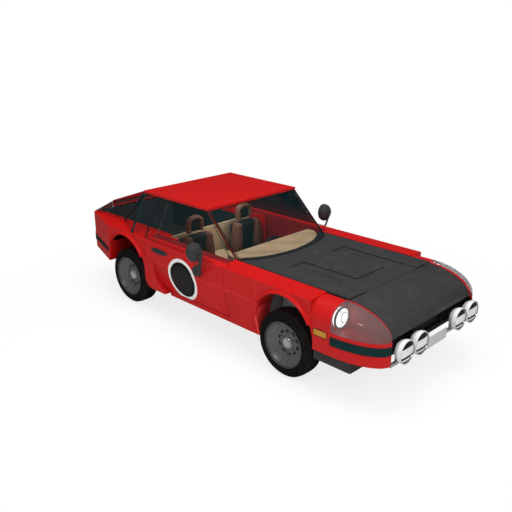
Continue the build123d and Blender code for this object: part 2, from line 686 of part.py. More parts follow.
def floor_pan():
    """Floor, tunnel, heel step, load floor, jacking pads and the towing eye."""
    half = INNER_EDGE - 20
    floor = block(-half, half, COWL, HEEL, FLOOR_Z, FLOOR_Z + FLOOR_THICK)
    tunnel = block(-TUNNEL_HALF, TUNNEL_HALF, COWL, HEEL, FLOOR_Z, TUNNEL_Z)
    inner = TUNNEL_HALF - WALL
    channel = block(-inner, inner, COWL - 1, HEEL + WALL + 1, FLOOR_Z - 1, TUNNEL_Z - WALL)
    step = block(-half, half, HEEL, HEEL + WALL, FLOOR_Z, LOAD_Z)
    load = block(-WELL_X, WELL_X, HEEL, TAIL_FACE - 30, LOAD_Z - WALL, LOAD_Z)
    pan = floor + tunnel + step + load - channel
    pad_y = FRONT_AXLE + 892
    for x in (-JACK_X, JACK_X):
        pan = pan + block(x - 30, x + 30, pad_y - 30, pad_y + 30, FLOOR_Z - 10, FLOOR_Z)
    eye_y = TAIL_FACE - 76
    eye_z = LOAD_Z - 58
    eye = block(-6, 6, eye_y - 36, eye_y + 36, eye_z - 32, LOAD_Z - WALL)
    return pan + eye - Pos(0, eye_y, eye_z) * Rot(0, 90, 0) * Cylinder(TOW_EYE_R, 40)


def bulkhead():
    """Panel between engine bay and cabin, the screen's sill and the pillar posts."""
    shut = LOAD_Z + 328
    inner = TUNNEL_HALF - WALL
    panel = block(-INNER_EDGE, INNER_EDGE, COWL - WALL, COWL, FLOOR_Z, shut)
    panel = panel - block(-inner, inner, COWL - WALL - 1, COWL + 1, FLOOR_Z - 1, TUNNEL_Z - WALL)
    panel = panel + block(-180, 180, COWL - WALL, COWL, shut - 1, DECK_Z - 26)
    rear = SCREEN_BASE + SCREEN_BOW - 5
    screen_sill = bowed_plate(rear, SCREEN_BOW, POST_X, INNER_EDGE, rear + 10, DECK_Z - 26, DECK_Z - SEAT)
    screen_sill = screen_sill & block(-POST_X, POST_X, COWL - 100, PILLAR_FOOT, DECK_Z - 30, DECK_Z)
    dash = bowed_plate(DASH_REAR, DASH_BOW + 1, POST_X - 9, POST_X + 1, DASH_REAR + 10, DECK_Z - 50, DECK_Z)
    posts = block(POST_X, INNER_EDGE, COWL, PILLAR_FOOT + 24, FLOOR_Z + FLOOR_THICK, shut)
    posts = posts + block(POST_X, INNER_EDGE, PILLAR_FOOT + 2, PILLAR_FOOT + 24, shut - 1, DECK_Z)
    return panel + (screen_sill - dash) + posts + mirrored(posts)


def engine_bay():
    """Inner wings with their shelves, rubber stops for the bonnet, and the radiator panel."""
    well_front = FRONT_ARCH - ARCH_R
    well_rear = FRONT_ARCH + ARCH_R
    end = COWL - WALL
    radiator = block(-BAY_X, BAY_X, ENGINE_FRONT, ENGINE_FRONT + WALL, SKIRT_Z - 20, SHELF_Z - 22)
    core = block(-BAY_X + 110, BAY_X - 110, ENGINE_FRONT - 1, ENGINE_FRONT + WALL + 1, SKIRT_Z + 30, SHELF_Z - 72)
    bay = radiator - core
    outer = INNER_EDGE
    side = [
        block(BAY_X, BAY_X + WALL, ENGINE_FRONT, end, SKIRT_Z - 60, SHELF_Z),
        block(BAY_X, outer, ENGINE_FRONT, end, SHELF_Z - 12, SHELF_Z),
        block(BAY_X, outer, ENGINE_FRONT, ENGINE_FRONT + WALL, SKIRT_Z, SHELF_Z),
        block(BAY_X, outer, well_front - WALL, well_front, SKIRT_Z, SHELF_Z),
        block(BAY_X, outer, well_rear, well_rear + WALL, FLOOR_Z + 40, SHELF_Z),
    ]
    stop_z = DECK_Z - RELIEF - PANEL + 4 - SEAT
    for y in (LID_JOINT + 120, FRONT_AXLE + 480):
        side.append(Pos(INNER_EDGE - 73, y, (SHELF_Z + stop_z) / 2) * Cylinder(15, stop_z - SHELF_Z))
    for piece in side:
        bay = bay + piece + mirrored(piece)
    return bay


def rear_wheelhouse():
    """Inner wall, front and rear walls and the deck over a rear wheel."""
    deck_z = DECK_Z - 32
    low = LOAD_Z - WALL
    back = TAIL_FACE - 30
    well_rear = REAR_ARCH + ARCH_R
    deck = polygon(
        (WELL_X, HEEL + WALL),
        (INNER_EDGE, HEEL + WALL),
        (INNER_EDGE, TAPER_START),
        (TAIL_INNER, TAIL_FACE),
        (TAIL_INNER, back),
        (WELL_X, back),
    )
    return (
        upward(deck, deck_z - 12, deck_z)
        + block(WELL_X, WELL_X + WALL, HEEL + WALL, back, low, deck_z)
        + block(WELL_X, INNER_EDGE, HEEL + WALL, HEEL + 2 * WALL, low, deck_z)
        + block(WELL_X, INNER_EDGE, well_rear - WALL, well_rear, low, deck_z)
    )


ENGINE_HALF = 190
ENGINE_LOW = 270
ENGINE_HIGH = 690
BEAM_LOW = 205  # underside of the front crossmember
BEAM_HIGH = 255
LEG_X = BAY_X + WALL  # inner face of the suspension legs, beside the engine bay's walls
LEG_WIDE = 60
TUBE_R = 36  # rear axle tubes
CASE_R = 100  # final drive
HUB_R = 60


def engine_block():
    return block(-ENGINE_HALF, ENGINE_HALF, FRONT_AXLE - 160, COWL - 60, ENGINE_LOW, ENGINE_HIGH)


def front_crossmember():
    """Beam under the engine, with the suspension legs that stand in the wheelhouses."""
    outer = LEG_X + LEG_WIDE
    beam = block(-outer, outer, FRONT_AXLE - 30, FRONT_AXLE + 30, BEAM_LOW, BEAM_HIGH)
    leg = block(LEG_X, outer, FRONT_AXLE - 30, FRONT_AXLE + 30, BEAM_LOW, SHELF_Z - 12)
    cradle = block(-ENGINE_HALF, ENGINE_HALF, FRONT_AXLE - 20, FRONT_AXLE + 20, BEAM_HIGH, ENGINE_LOW)
    for z in (TYRE_R - KINGPIN_RISE, TYRE_R + KINGPIN_RISE):
        arm = block(outer - 4, WHEEL_X, FRONT_AXLE - 16, FRONT_AXLE + 16, z - 10, z + 10)
        arm = arm + Pos(WHEEL_X, FRONT_AXLE, z) * Cylinder(KINGPIN_R + 10, 20)
        leg = leg + (arm - Pos(WHEEL_X, FRONT_AXLE, z) * Cylinder(KINGPIN_R + SEAT, 30))
    return beam + leg + mirrored(leg) + cradle


def rear_axle():
    """Final drive, axle tubes and the legs up to the floor."""
    hub_face = WHEEL_X + HUB_DEPTH
    case = Pos(0, REAR_AXLE, TYRE_R) * Sphere(CASE_R)
    tube = Pos(0, REAR_AXLE, TYRE_R) * Rot(0, 90, 0) * Cylinder(TUBE_R, 2 * (hub_face - 60))
    flange = Pos(hub_face - 66, REAR_AXLE, TYRE_R) * Rot(0, 90, 0) * Cylinder(HUB_R, 40)
    spindle = Pos(hub_face - 30, REAR_AXLE, TYRE_R) * Rot(0, 90, 0) * Cylinder(SPINDLE_R, 80)
    leg = block(WELL_X - 60, WELL_X - 20, REAR_AXLE - 20, REAR_AXLE + 20, TYRE_R, LOAD_Z - WALL)
    side = flange + spindle + leg
    return case + tube + side + mirrored(side)


def exhaust():
    """Pipe from the engine to the tail with a silencer, on two hangers."""
    start = COWL + 100
    end = TAIL_FACE + 6
    centre_z = 180
    pipe_x = 208

    def tube(radius, y0, y1):
        return Pos(pipe_x, (y0 + y1) / 2, centre_z) * Rot(90, 0, 0) * Cylinder(radius, y1 - y0)

    hanger_y = REAR_AXLE + 560
    silencer = tube(62, REAR_AXLE + 380, REAR_AXLE + 740)
    rear_hanger = block(pipe_x - 8, pipe_x + 8, hanger_y - 8, hanger_y + 8, centre_z, LOAD_Z - WALL)
    front_hanger = block(pipe_x - 8, pipe_x + 8, start + 100, start + 116, centre_z, FLOOR_Z)
    pipe = tube(24, start, end) + silencer + rear_hanger + front_hanger
    return pipe - tube(20, end - 60, end + 1)


def knuckle():
    """Steering upright: a hub carrier with its spindle, and a kingpin through both wishbones."""
    hub_face = WHEEL_X + HUB_DEPTH
    carrier = Pos(WHEEL_X - 4, FRONT_AXLE, TYRE_R) * Rot(0, 90, 0) * Cylinder(HUB_R, 36)
    spindle = Pos(hub_face - 30, FRONT_AXLE, TYRE_R) * Rot(0, 90, 0) * Cylinder(SPINDLE_R, 80)
    kingpin = Pos(WHEEL_X, FRONT_AXLE, TYRE_R) * Cylinder(KINGPIN_R, 2 * KINGPIN_RISE + 40)
    collar = Pos(WHEEL_X, FRONT_AXLE, TYRE_R) * Cylinder(KINGPIN_R + 8, 2 * KINGPIN_RISE - 20 - 2 * SEAT)
    return carrier + spindle + kingpin + collar


def wheel_rim(y):
    """Deep-dished pressed wheel: barrel, perforated centre disc and hub bore."""
    depth = TYRE_WIDTH - 8
    barrel = Cylinder(RIM_R, depth) - Cylinder(RIM_R - 12, depth + 1)
    disc = Pos(0, 0, HUB_DEPTH) * Cylinder(RIM_R - 6, 14)
    cap = Pos(0, 0, HUB_DEPTH + 18) * Cylinder(46, 36)
    bore = Pos(0, 0, HUB_DEPTH - 60) * Cylinder(SPINDLE_R + 0.05, 140)
    rim = barrel + disc + cap - bore
    for i in range(8):
        hole = Rot(0, 0, i * 45) * Pos(110, 0, HUB_DEPTH) * Cylinder(16, 40)
        rim = rim - hole
    return Pos(WHEEL_X, y, TYRE_R) * Rot(0, 90, 0) * rim


def tyre(y):
    section = Pos((TYRE_R + RIM_R) / 2, 0, 0) * (Plane.XZ * Rectangle(TYRE_R - RIM_R, TYRE_WIDTH))
    ring = revolve(section, Axis.Z, 360)
    ring = fillet(ring.edges().filter_by(GeomType.CIRCLE).group_by(SortBy.RADIUS)[-1], 24)
    return Pos(WHEEL_X, y, TYRE_R) * Rot(0, 90, 0) * ring


# ================================================================ cabin
DRIVER_X = (TUNNEL_HALF + POST_X) / 2  # each seat stands midway between tunnel and posts
SEAT_HALF = (POST_X - TUNNEL_HALF) / 2 - 40
SEAT_Z = 380  # top of the seat cushions
SEAT_BACK_Z = 840
HEADREST = (210, 62, 190)
BOLSTER_R = 32
COLUMN_R = 20
COLUMN_LEN = 400
HUB_THICK = 30  # hub of the steering wheel
WHEEL_TILT = 68  # lean of the steering column from upright
WHEEL_Y = FRONT_AXLE + 1300
WHEEL_Z = 578


def dashboard():
    """Bow-fronted top pad over a deep fascia, with the steering column."""
    top_z = DECK_Z - 2
    half = POST_X - 10
    fascia = DASH_REAR - 110
    top = bowed_plate(DASH_REAR, DASH_BOW, half, POST_X, DASH_REAR + 20, top_z - 38, top_z)
    body = block(-half, half, fascia, DASH_REAR + 10, 560, top_z - 20)
    shelf = block(-POST_X, POST_X, COWL, fascia + 20, 560, 600)
    hood = Pos(DRIVER_X, DASH_REAR + 20, 690) * Rot(90, 0, 0) * Cylinder(90, 60)
    bracket = block(DRIVER_X - 25, DRIVER_X + 25, DASH_REAR - 30, DASH_REAR + 18, 425, 570)
    hub_gap = HUB_THICK / 2 + SEAT
    column = Pos(0, 0, -hub_gap - COLUMN_LEN / 2) * Cylinder(COLUMN_R, COLUMN_LEN)
    column = Pos(DRIVER_X, WHEEL_Y, WHEEL_Z) * Rot(-WHEEL_TILT, 0, 0) * column
    return top + body + shelf + hood + bracket + column


def seat():
    """Bucket seat: cushion and back with side bolsters, and an arched headrest."""
    front = FRONT_AXLE + 1240
    back_y = FRONT_AXLE + 1640
    half = SEAT_HALF
    cushion = block(-half, half, front, back_y, FLOOR_Z + FLOOR_THICK, SEAT_Z - 30)
    cushion = fillet(cushion.edges().filter_by(Axis.X).group_by(Axis.Y)[0], 50)
    rest = block(-half, half, back_y, back_y + 110, FLOOR_Z + 40, SEAT_BACK_Z)
    rest = fillet(rest.edges().filter_by(Axis.Y).group_by(Axis.Z)[-1], 60)
    bolsters = []
    for side in (-1, 1):
        x = side * (half - BOLSTER_R)
        level = Pos(x, (front + back_y) / 2, SEAT_Z - BOLSTER_R - 2) * Rot(90, 0, 0)
        bolsters.append(level * Cylinder(BOLSTER_R, back_y - front - 40))
        bolsters.append(Pos(x, back_y, SEAT_BACK_Z - 250) * Cylinder(BOLSTER_R, 400))
    arch = Box(*HEADREST)
    arch = fillet(arch.edges().filter_by(Axis.Y).group_by(Axis.Z)[-1], HEADREST[0] / 3)
    arch = Pos(0, back_y + 72, SEAT_BACK_Z + HEADREST[2] / 2) * arch
    return cushion + rest + bolsters[0] + bolsters[1] + bolsters[2] + bolsters[3] + arch


def seats():
    return both(Pos(DRIVER_X, 0, 0) * seat())


def cabin_trim():
    """Console on the tunnel and the panel behind the seats."""
    console = block(-TUNNEL_HALF - 10, TUNNEL_HALF + 10, FRONT_AXLE + 1000, FRONT_AXLE + 1800, TUNNEL_Z + SEAT, 520)
    console = fillet(console.edges().filter_by(Axis.Y).group_by(Axis.Z)[-1], 20)
    wall = block(-POST_X, POST_X, HEEL - 20, HEEL, FLOOR_Z + FLOOR_THICK, 800)
    wall = wall - block(-TUNNEL_HALF - 1, TUNNEL_HALF + 1, HEEL - 21, HEEL + 1, FLOOR_Z, TUNNEL_Z + 1)
    return Compound(children=[console, wall])


def steering_wheel():
    wheel = Torus(WHEEL_RIM_R, 13)
    for turn in (0, 120, 240):
        wheel = wheel + Rot(0, 0, turn) * Pos(0, -WHEEL_RIM_R / 2, 0) * Box(30, WHEEL_RIM_R, 8)
    wheel = wheel + Cylinder(45, HUB_THICK)
    return Pos(DRIVER_X, WHEEL_Y, WHEEL_Z) * Rot(-WHEEL_TILT, 0, 0) * wheel


# ================================================================ door fittings
def mirror_unit():
    """Round foot on the door, a bent stalk and a ball-shaped shell with the glass behind."""
    y = FRONT_AXLE + 1112
    foot = Pos(HALF_WIDTH + 22, y, 695) * Rot(0, 90, 0) * Cylinder(60, 44)
    foot = fillet(foot.edges().group_by(Axis.X)[-1], 34)
    knee = (HALF_WIDTH + 66, y - 30, 700)
    link = Pos(HALF_WIDTH + 38, y - 30, 700) * Rot(0, 90, 0) * Cylinder(13, 60)
    stalk = strut(knee, (HALF_WIDTH + 96, y - 60, 900), 24)
    shell = Sphere(82) - block(-100, 100, 34, 100, -100, 100) - Pos(0, 34, 0) * Rot(90, 0, 0) * Cylinder(56, 12)
    return foot + link + stalk + Pos(*knee) * Sphere(15) + Pos(HALF_WIDTH + 113, y - 91, 935) * shell


def door_handle():
    """Lozenge-shaped cover plate with the pull behind its lower edge."""
    y = FRONT_AXLE + 1716
    lozenge = Pos(HALF_WIDTH, y, 738) * scale(Sphere(1), by=(22, 136, 28))
    return lozenge & block(HALF_WIDTH, HALF_WIDTH + 40, y - 200, y + 200, 700, 780)


PIECES = {
    "floor_pan": floor_pan,
    "bulkhead": bulkhead,
    "engine_bay": engine_bay,
    "rear_wheelhouses": lambda: both(rear_wheelhouse()),
    "sills": lambda: both(sill()),
    "front_fenders": lambda: both(front_fender()),
    "rear_quarters": lambda: both(rear_quarter()),
    "nose_panel": nose_panel,
    "front_bumper": lambda: both(front_bumper()),
    "bumper_strips": lambda: both(front_strip()),
    "rear_bumper": rear_bumper,
    "headlamp_covers": lambda: both(headlamp_cover()),
    "headlamps": lambda: both(headlamp()),
    "auxiliary_lamps": auxiliary_lamps,
    "grille": grille,
    "number_plates": number_plates,
    "air_dam": lambda: both(air_dam()),
    "tail_panel": tail_panel,
    "tail_lamps": tail_lamps,
    "roof": roof,
    "windscreen": windscreen,
    "side_windows": side_windows,
    "tailgate": tailgate,
    "tailgate_glass": tailgate_glass,
    "bonnet": bonnet,
    "door_left": door,
    "door_right": lambda: mirrored(door()),
    "door_glass_left": door_glass,
    "door_glass_right": lambda: Compound(children=[mirrored(pane) for pane in door_glass().solids()]),
    "mirror_left": mirror_unit,
    "mirror_right": lambda: mirrored(mirror_unit()),
    "door_handle_left": door_handle,
    "door_handle_right": lambda: mirrored(door_handle()),
    "engine_block": engine_block,
    "front_crossmember": front_crossmember,
    "rear_axle": rear_axle,
    "exhaust": exhaust,
    "dashboard": dashboard,
    "seats": seats,
    "cabin_trim": cabin_trim,
    "steering_wheel": steering_wheel,
    "knuckle_left": knuckle,
    "knuckle_right": lambda: mirrored(knuckle()),
    "rim_front_left": lambda: wheel_rim(FRONT_AXLE),
    "rim_front_right": lambda: mirrored(wheel_rim(FRONT_AXLE)),
    "rim_rear_left": lambda: wheel_rim(REAR_AXLE),
    "rim_rear_right": lambda: mirrored(wheel_rim(REAR_AXLE)),
    "tyre_front_left": lambda: tyre(FRONT_AXLE),
    "tyre_front_right": lambda: mirrored(tyre(FRONT_AXLE)),
    "tyre_rear_left": lambda: tyre(REAR_AXLE),
    "tyre_rear_right": lambda: mirrored(tyre(REAR_AXLE)),
}

for name, make in PIECES.items():
    save(name, make())
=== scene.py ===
from math import cos, pi, radians, sin, sqrt

import bmesh
import bpy
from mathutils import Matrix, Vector


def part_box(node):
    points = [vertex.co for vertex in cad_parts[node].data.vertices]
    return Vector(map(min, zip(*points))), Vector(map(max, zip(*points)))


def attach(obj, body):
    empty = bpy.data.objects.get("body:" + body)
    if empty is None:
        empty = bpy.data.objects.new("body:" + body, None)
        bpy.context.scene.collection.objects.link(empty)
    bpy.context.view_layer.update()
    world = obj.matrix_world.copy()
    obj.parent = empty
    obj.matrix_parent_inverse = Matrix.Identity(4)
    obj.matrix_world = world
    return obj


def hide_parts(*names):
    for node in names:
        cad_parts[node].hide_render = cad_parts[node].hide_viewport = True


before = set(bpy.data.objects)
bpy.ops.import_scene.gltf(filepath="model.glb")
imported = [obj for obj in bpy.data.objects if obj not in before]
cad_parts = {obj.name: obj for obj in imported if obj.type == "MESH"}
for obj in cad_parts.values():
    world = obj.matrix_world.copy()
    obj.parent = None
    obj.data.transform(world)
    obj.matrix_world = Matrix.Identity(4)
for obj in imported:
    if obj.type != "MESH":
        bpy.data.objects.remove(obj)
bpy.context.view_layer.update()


# ---------------------------------------------------------------- camera and studio
# A 45 mm lens looks down on the right front corner of the car from about eye height and a half. The
# white room has a ceiling light, two window-sized lights, a small bright one and a faint cabin light.
look_down, look_aside = 19.81, 45.07
camera = bpy.data.objects.new("camera", bpy.data.cameras.new("camera"))
camera.location = (-4.496, -4.4238, 2.910)
camera.rotation_euler = (radians(90 - look_down), 0, radians(-look_aside))
camera.data.lens = 45.0
camera.data.sensor_width = 36.0
camera.data.clip_end = 200
bpy.context.scene.collection.objects.link(camera)
bpy.context.scene.camera = camera
bpy.context.scene.view_settings.view_transform = "Standard"


def node_tree(owner):
    """Empties a material's or a world's nodes and gives its tree."""
    owner.use_nodes = True
    owner.node_tree.nodes.clear()
    return owner.node_tree


def feed(tree, node, **values):
    """Sets or links a node's inputs by name, with _ for a space."""
    for title, value in values.items():
        socket = node.inputs[title.replace("_", " ")]
        if isinstance(value, tuple):
            socket.default_value = (*value, 1) if socket.type == "RGBA" else value
        elif isinstance(value, (int, float)):
            socket.default_value = value
        else:
            tree.links.new(value, socket)


def new_node(tree, kind, **values):
    """A shader node of a kind, with its inputs fed by name."""
    node = tree.nodes.new("ShaderNode" + kind)
    feed(tree, node, **values)
    return node


def maths(tree, operation, first, *others):
    """Maths on sockets or plain numbers, two at a time from the left; gives the last socket."""
    for second in others or (None,):
        node = tree.nodes.new("ShaderNodeMath")
        node.operation = operation
        for socket, value in zip(node.inputs, (first, second)):
            if isinstance(value, (int, float)):
                socket.default_value = value
            elif value is not None:
                tree.links.new(value, socket)
        first = node.outputs[0]
    return first


def times(tree, *values):
    """The product of sockets or plain numbers."""
    return maths(tree, "MULTIPLY", *values)


def vector_maths(tree, operation, *values, **named):
    """One vector maths node on sockets or plain (x, y, z)."""
    node = tree.nodes.new("ShaderNodeVectorMath")
    node.operation = operation
    for socket, value in zip(node.inputs, values):
        if isinstance(value, tuple):
            socket.default_value = value
        else:
            tree.links.new(value, socket)
    feed(tree, node, **named)
    return node.outputs["Value" if operation in ("LENGTH", "DOT_PRODUCT", "DISTANCE") else "Vector"]


def remap(tree, value, low, high, new_low=0.0, new_high=1.0):
    """Stretches value from low..high onto new_low..new_high, clamped."""
    ends = {"From_Min": low, "From_Max": high, "To_Min": new_low, "To_Max": new_high}
    return new_node(tree, "MapRange", Value=value, **ends).outputs["Result"]


def object_place(tree):
    """Coordinates fixed to the piece, in metres."""
    return tree.nodes.new("ShaderNodeTexCoord").outputs["Object"]


def either_shader(tree, share, first, second):
    """Mixes two shaders."""
    mix = tree.nodes.new("ShaderNodeMixShader")
    for socket, source in zip(mix.inputs, (share, first.outputs[0], second.outputs[0])):
        tree.links.new(source, socket)
    return mix.outputs[0]


def lamp(name, place, target, size, power):
    """A square soft light aimed at a point."""
    light = bpy.data.lights.new(name, "AREA")
    light.shape = "SQUARE"
    light.size = size
    light.energy = power
    holder = bpy.data.objects.new(name, light)
    holder.location = place
    holder.rotation_euler = (Vector(target) - Vector(place)).to_track_quat("-Z", "Y").to_euler()
    bpy.context.scene.collection.objects.link(holder)
    holder.visible_glossy = False
    holder.visible_camera = False
    return holder


lamp("ceiling_light", (-0.6, -0.8, 7.0), (0, 0, 0.5), 5.0, 400)
lamp("window_light", (-1.5, -8.0, 4.5), (0, 0, 0.6), 3.0, 190)
lamp("side_light", (-8.0, -0.5, 3.0), (0, 0, 0.6), 3.0, 90)
spark = lamp("spot_light", (-7.5, -3.0, 8.0), (0, 0, 0.6), 0.9, 80)
spark.visible_glossy = True
lamp("cabin_light", (0, 0.62, 1.222), (0, 0.62, 0.5), 0.75, 6)

room = bpy.data.worlds.new("room")
bpy.context.scene.world = room
tree = node_tree(room)
path = new_node(tree, "LightPath").outputs
seen = maths(tree, "MAXIMUM", path["Is Camera Ray"], path["Is Transmission Ray"])
strength = remap(tree, path["Is Glossy Ray"], 0.0, 1.0, 0.32, 0.035)
dim = new_node(tree, "Background", Color=(1, 1, 1), Strength=strength)
white = new_node(tree, "Background", Color=(1, 1, 1), Strength=1.0)
new_node(tree, "OutputWorld", Surface=either_shader(tree, seen, dim, white))

floor_mesh = bmesh.new()
bmesh.ops.create_circle(floor_mesh, cap_ends=True, segments=64, radius=40)
floor_data = bpy.data.meshes.new("studio_floor")
floor_mesh.to_mesh(floor_data)
floor = bpy.data.objects.new("studio_floor", floor_data)
bpy.context.scene.collection.objects.link(floor)
paper = bpy.data.materials.new("studio_paper")
tree = node_tree(paper)
path = new_node(tree, "LightPath").outputs
shade = remap(tree, path["Is Glossy Ray"], 0.0, 1.0, 0.90, 0.16)
matt = new_node(tree, "BsdfPrincipled", Base_Color=shade, Roughness=0.95, Specular_IOR_Level=0.0)
clear = new_node(tree, "BsdfTransparent")
fade = remap(tree, vector_maths(tree, "LENGTH", object_place(tree)), 1.6, 3.4, 0.80, 1.0)
share = times(tree, fade, path["Is Camera Ray"])
new_node(tree, "OutputMaterial", Surface=either_shader(tree, share, matt, clear))
floor_data.materials.append(paper)


# ---------------------------------------------------------------- underbody
# The floor pan, bulkhead, engine bay sides and rear wheelhouses are pressed steel sheets,
# spot welded and sprayed with a matt black sealer that has a pebbled skin and road dust low down.
def new_group(name, ins, outs):
    """An empty shader node group with named sockets: each is (name, kind, default)."""
    group = bpy.data.node_groups.new(name, "ShaderNodeTree")
    for title, kind, value in ins:
        socket = group.interface.new_socket(name=title, in_out="INPUT", socket_type="NodeSocket" + kind)
        socket.default_value = value
    for title, kind in outs:
        group.interface.new_socket(name=title, in_out="OUTPUT", socket_type="NodeSocket" + kind)
    return group, group.nodes.new("NodeGroupInput").outputs, group.nodes.new("NodeGroupOutput")


def noise(tree, coordinates, scale, detail=3.0, roughness=0.55):
    """Cloudy noise read at the given coordinates."""
    settings = {"Scale": scale, "Detail": detail, "Roughness": roughness}
    return new_node(tree, "TexNoise", Vector=coordinates, **settings).outputs["Fac"]


def patchy(tree, place, scale, low, high, detail=3.0):
    """Cloudy noise spread over low..high."""
    return remap(tree, noise(tree, place, scale, detail), 0.3, 0.7, low, high)


def blend_colour(tree, share, first, second):
    """Mixes two colours; each is a socket or a plain (r, g, b)."""
    mix = tree.nodes.new("ShaderNodeMix")
    mix.data_type = "RGBA"
    feed(tree, mix, Factor=share)
    for title, value in (("A", first), ("B", second)):
        socket = [s for s in mix.inputs if s.name == title and s.type == "RGBA"][0]
        if isinstance(value, tuple):
            socket.default_value = (*value, 1)
        else:
            tree.links.new(value, socket)
    return [s for s in mix.outputs if s.type == "RGBA"][0]


def bumped(tree, height, distance, strength=1.0):
    """A normal from a height."""
    return new_node(tree, "Bump", Height=height, Distance=distance, Strength=strength).outputs["Normal"]


def split(tree, vector):
    """x, y and z of a vector."""
    return new_node(tree, "SeparateXYZ", Vector=vector).outputs[:3]


def make_road_dust():
    """Pale dust that gathers low on the body, in patches."""
    group, inside, outside = new_group(
        "road_dust",
        [("Colour", "Color", (0.5, 0.5, 0.5, 1)), ("Amount", "Float", 0.3), ("Top", "Float", 0.7)],
        [("Colour", "Color"), ("Mask", "Float")],
    )
    place = object_place(group)
    height = maths(group, "DIVIDE", split(group, place)[2], inside["Top"])
    low = maths(group, "MAXIMUM", maths(group, "SUBTRACT", 1.0, height), 0.0)
    patches = remap(group, noise(group, place, 9.0, 5.0, 0.65), 0.35, 0.7)
    grains = patchy(group, place, 160.0, 0.6, 1.0, 2.0)
    mask = times(group, low, patches, grains, inside["Amount"])
    dusty = blend_colour(group, mask, inside["Colour"], (0.23, 0.19, 0.15))
    feed(group, outside, Colour=dusty, Mask=mask)
    return group


road_dust = make_road_dust()


def place_group(tree, group, **values):
    """Puts a group in a tree, with its inputs fed by name, and gives its outputs."""
    node = tree.nodes.new("ShaderNodeGroup")
    node.node_tree = group
    feed(tree, node, **values)
    return node.outputs


def new_material(name, **plain):
    """A material with one Principled shader, its plain numbers set on its own sockets."""
    material = bpy.data.materials.new(name)
    tree = node_tree(material)
    shader = new_node(tree, "BsdfPrincipled", **plain)
    new_node(tree, "OutputMaterial", Surface=shader.outputs[0])
    return material, tree, shader


def finish_nodes(material, *names):
    """Gives CAD nodes their finish."""
    for name in names:
        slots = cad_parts[name].data.materials
        slots.clear()
        slots.append(material)


wheel_well_front, wheel_well_side = -0.745, 0.4495
sealer, tree, shader = new_material("underbody_sealer", Metallic=0.0, Specular_IOR_Level=0.3)
place = object_place(tree)
pebbles = new_node(tree, "TexVoronoi", Scale=220, Vector=place).outputs["Distance"]
shade = blend_colour(tree, noise(tree, place, 6.0), (0.012, 0.012, 0.013), (0.03, 0.029, 0.028))
x, y, z = split(tree, place)
outboard = maths(tree, "GREATER_THAN", maths(tree, "ABSOLUTE", x), wheel_well_side)
# painted light: the engine bay's outer walls facing the front wheels get a pale grey-teal, far lighter than
# the black sealer, so they look lit inside the wheel arches
painted_light_well_wall = times(tree, maths(tree, "LESS_THAN", y, wheel_well_front), outboard)
shade = blend_colour(tree, painted_light_well_wall, shade, (0.38, 0.42, 0.42))
dust = place_group(tree, road_dust, Colour=shade, Amount=0.3, Top=0.5)
roughness = patchy(tree, place, 25.0, 0.6, 0.9)
feed(tree, shader, Base_Color=dust["Colour"], Roughness=roughness, Normal=bumped(tree, pebbles, 0.0012, 0.6))
finish_nodes(sealer, "floor_pan", "bulkhead", "engine_bay")


# ---------------------------------------------------------------- painted body
# Doors, wings, quarters, sills, roof, tailgate frame and bumper corners are steel pressings in
# red enamel: slightly wavy, a little polished, with dust low down and folded edges that catch light.
def make_enamel_skin():
    """Orange peel, faint colour clouds and fine polishing haze of sprayed enamel."""
    group, inside, outside = new_group(
        "enamel_skin",
        [("Colour", "Color", (0.5, 0.02, 0.02, 1)), ("Roughness", "Float", 0.3), ("Clouds", "Float", 0.15)],
        [("Colour", "Color"), ("Roughness", "Float"), ("Normal", "Vector")],
    )
    place = object_place(group)
    clouds = remap(group, noise(group, place, 3.0, 4.0), 0.35, 0.65)
    deep = blend_colour(group, 0.72, (0.0, 0.0, 0.0), inside["Colour"])
    colour = blend_colour(group, times(group, clouds, inside["Clouds"]), inside["Colour"], deep)
    haze = maths(group, "ADD", inside["Roughness"], patchy(group, place, 40.0, -0.04, 0.07))
    peel = times(group, noise(group, place, 520.0, 1.0), 0.25)
    height = maths(group, "ADD", peel, noise(group, place, 5.0, 1.0))
    feed(group, outside, Colour=colour, Roughness=haze, Normal=bumped(group, height, 0.0007, 0.25))
    return group


def make_seam_highlight():
    """Mask of a painted highlight line along a straight seam on a body side, between two points given by
    their y and z.
    """
    group, inside, outside = new_group(
        "seam_highlight",
        [("Start", "Vector", (0, 0, 0)), ("End", "Vector", (0, 0, 1)), ("Half width", "Float", 0.002)],
        [("Mask", "Float")],
    )
    flat = vector_maths(group, "MULTIPLY", object_place(group), (0, 1, 1))
    along = vector_maths(group, "SUBTRACT", inside["End"], inside["Start"])
    reach = vector_maths(group, "SUBTRACT", flat, inside["Start"])
    dots = [vector_maths(group, "DOT_PRODUCT", v, along) for v in (reach, along)]
    share = maths(group, "MAXIMUM", maths(group, "DIVIDE", *dots), 0.0)
    nearest = vector_maths(group, "SCALE", along, Scale=maths(group, "MINIMUM", share, 1.0))
    gap = vector_maths(group, "DISTANCE", reach, nearest)
    edge = maths(group, "SUBTRACT", 1.6, maths(group, "DIVIDE", gap, inside["Half width"]))
    feed(group, outside, Mask=maths(group, "MINIMUM", maths(group, "MAXIMUM", edge, 0.0), 1.0))
    return group


def distance(tree, u, v):
    """Distance of the point (u, v) from the middle."""
    return maths(tree, "SQRT", maths(tree, "ADD", times(tree, u, u), times(tree, v, v)))


enamel_skin = make_enamel_skin()
seam_highlight = make_seam_highlight()
tyre_low, tyre_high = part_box("tyre_front_left")
front_axle = tyre_low.y + (tyre_high.y - tyre_low.y) / 2
tyre_low, tyre_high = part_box("tyre_rear_left")
rear_axle = tyre_low.y + (tyre_high.y - tyre_low.y) / 2
RED = (0.52, 0.0075, 0.0075)
HIGHLIGHT_RED = (0.75, 0.035, 0.03)
door_skin_x = 0.745
ROUNDEL = ((1.0, (0.80, 0.80, 0.78)), (0.84, (0.004, 0.004, 0.004)), (0.70, (0.016, 0.016, 0.016)))


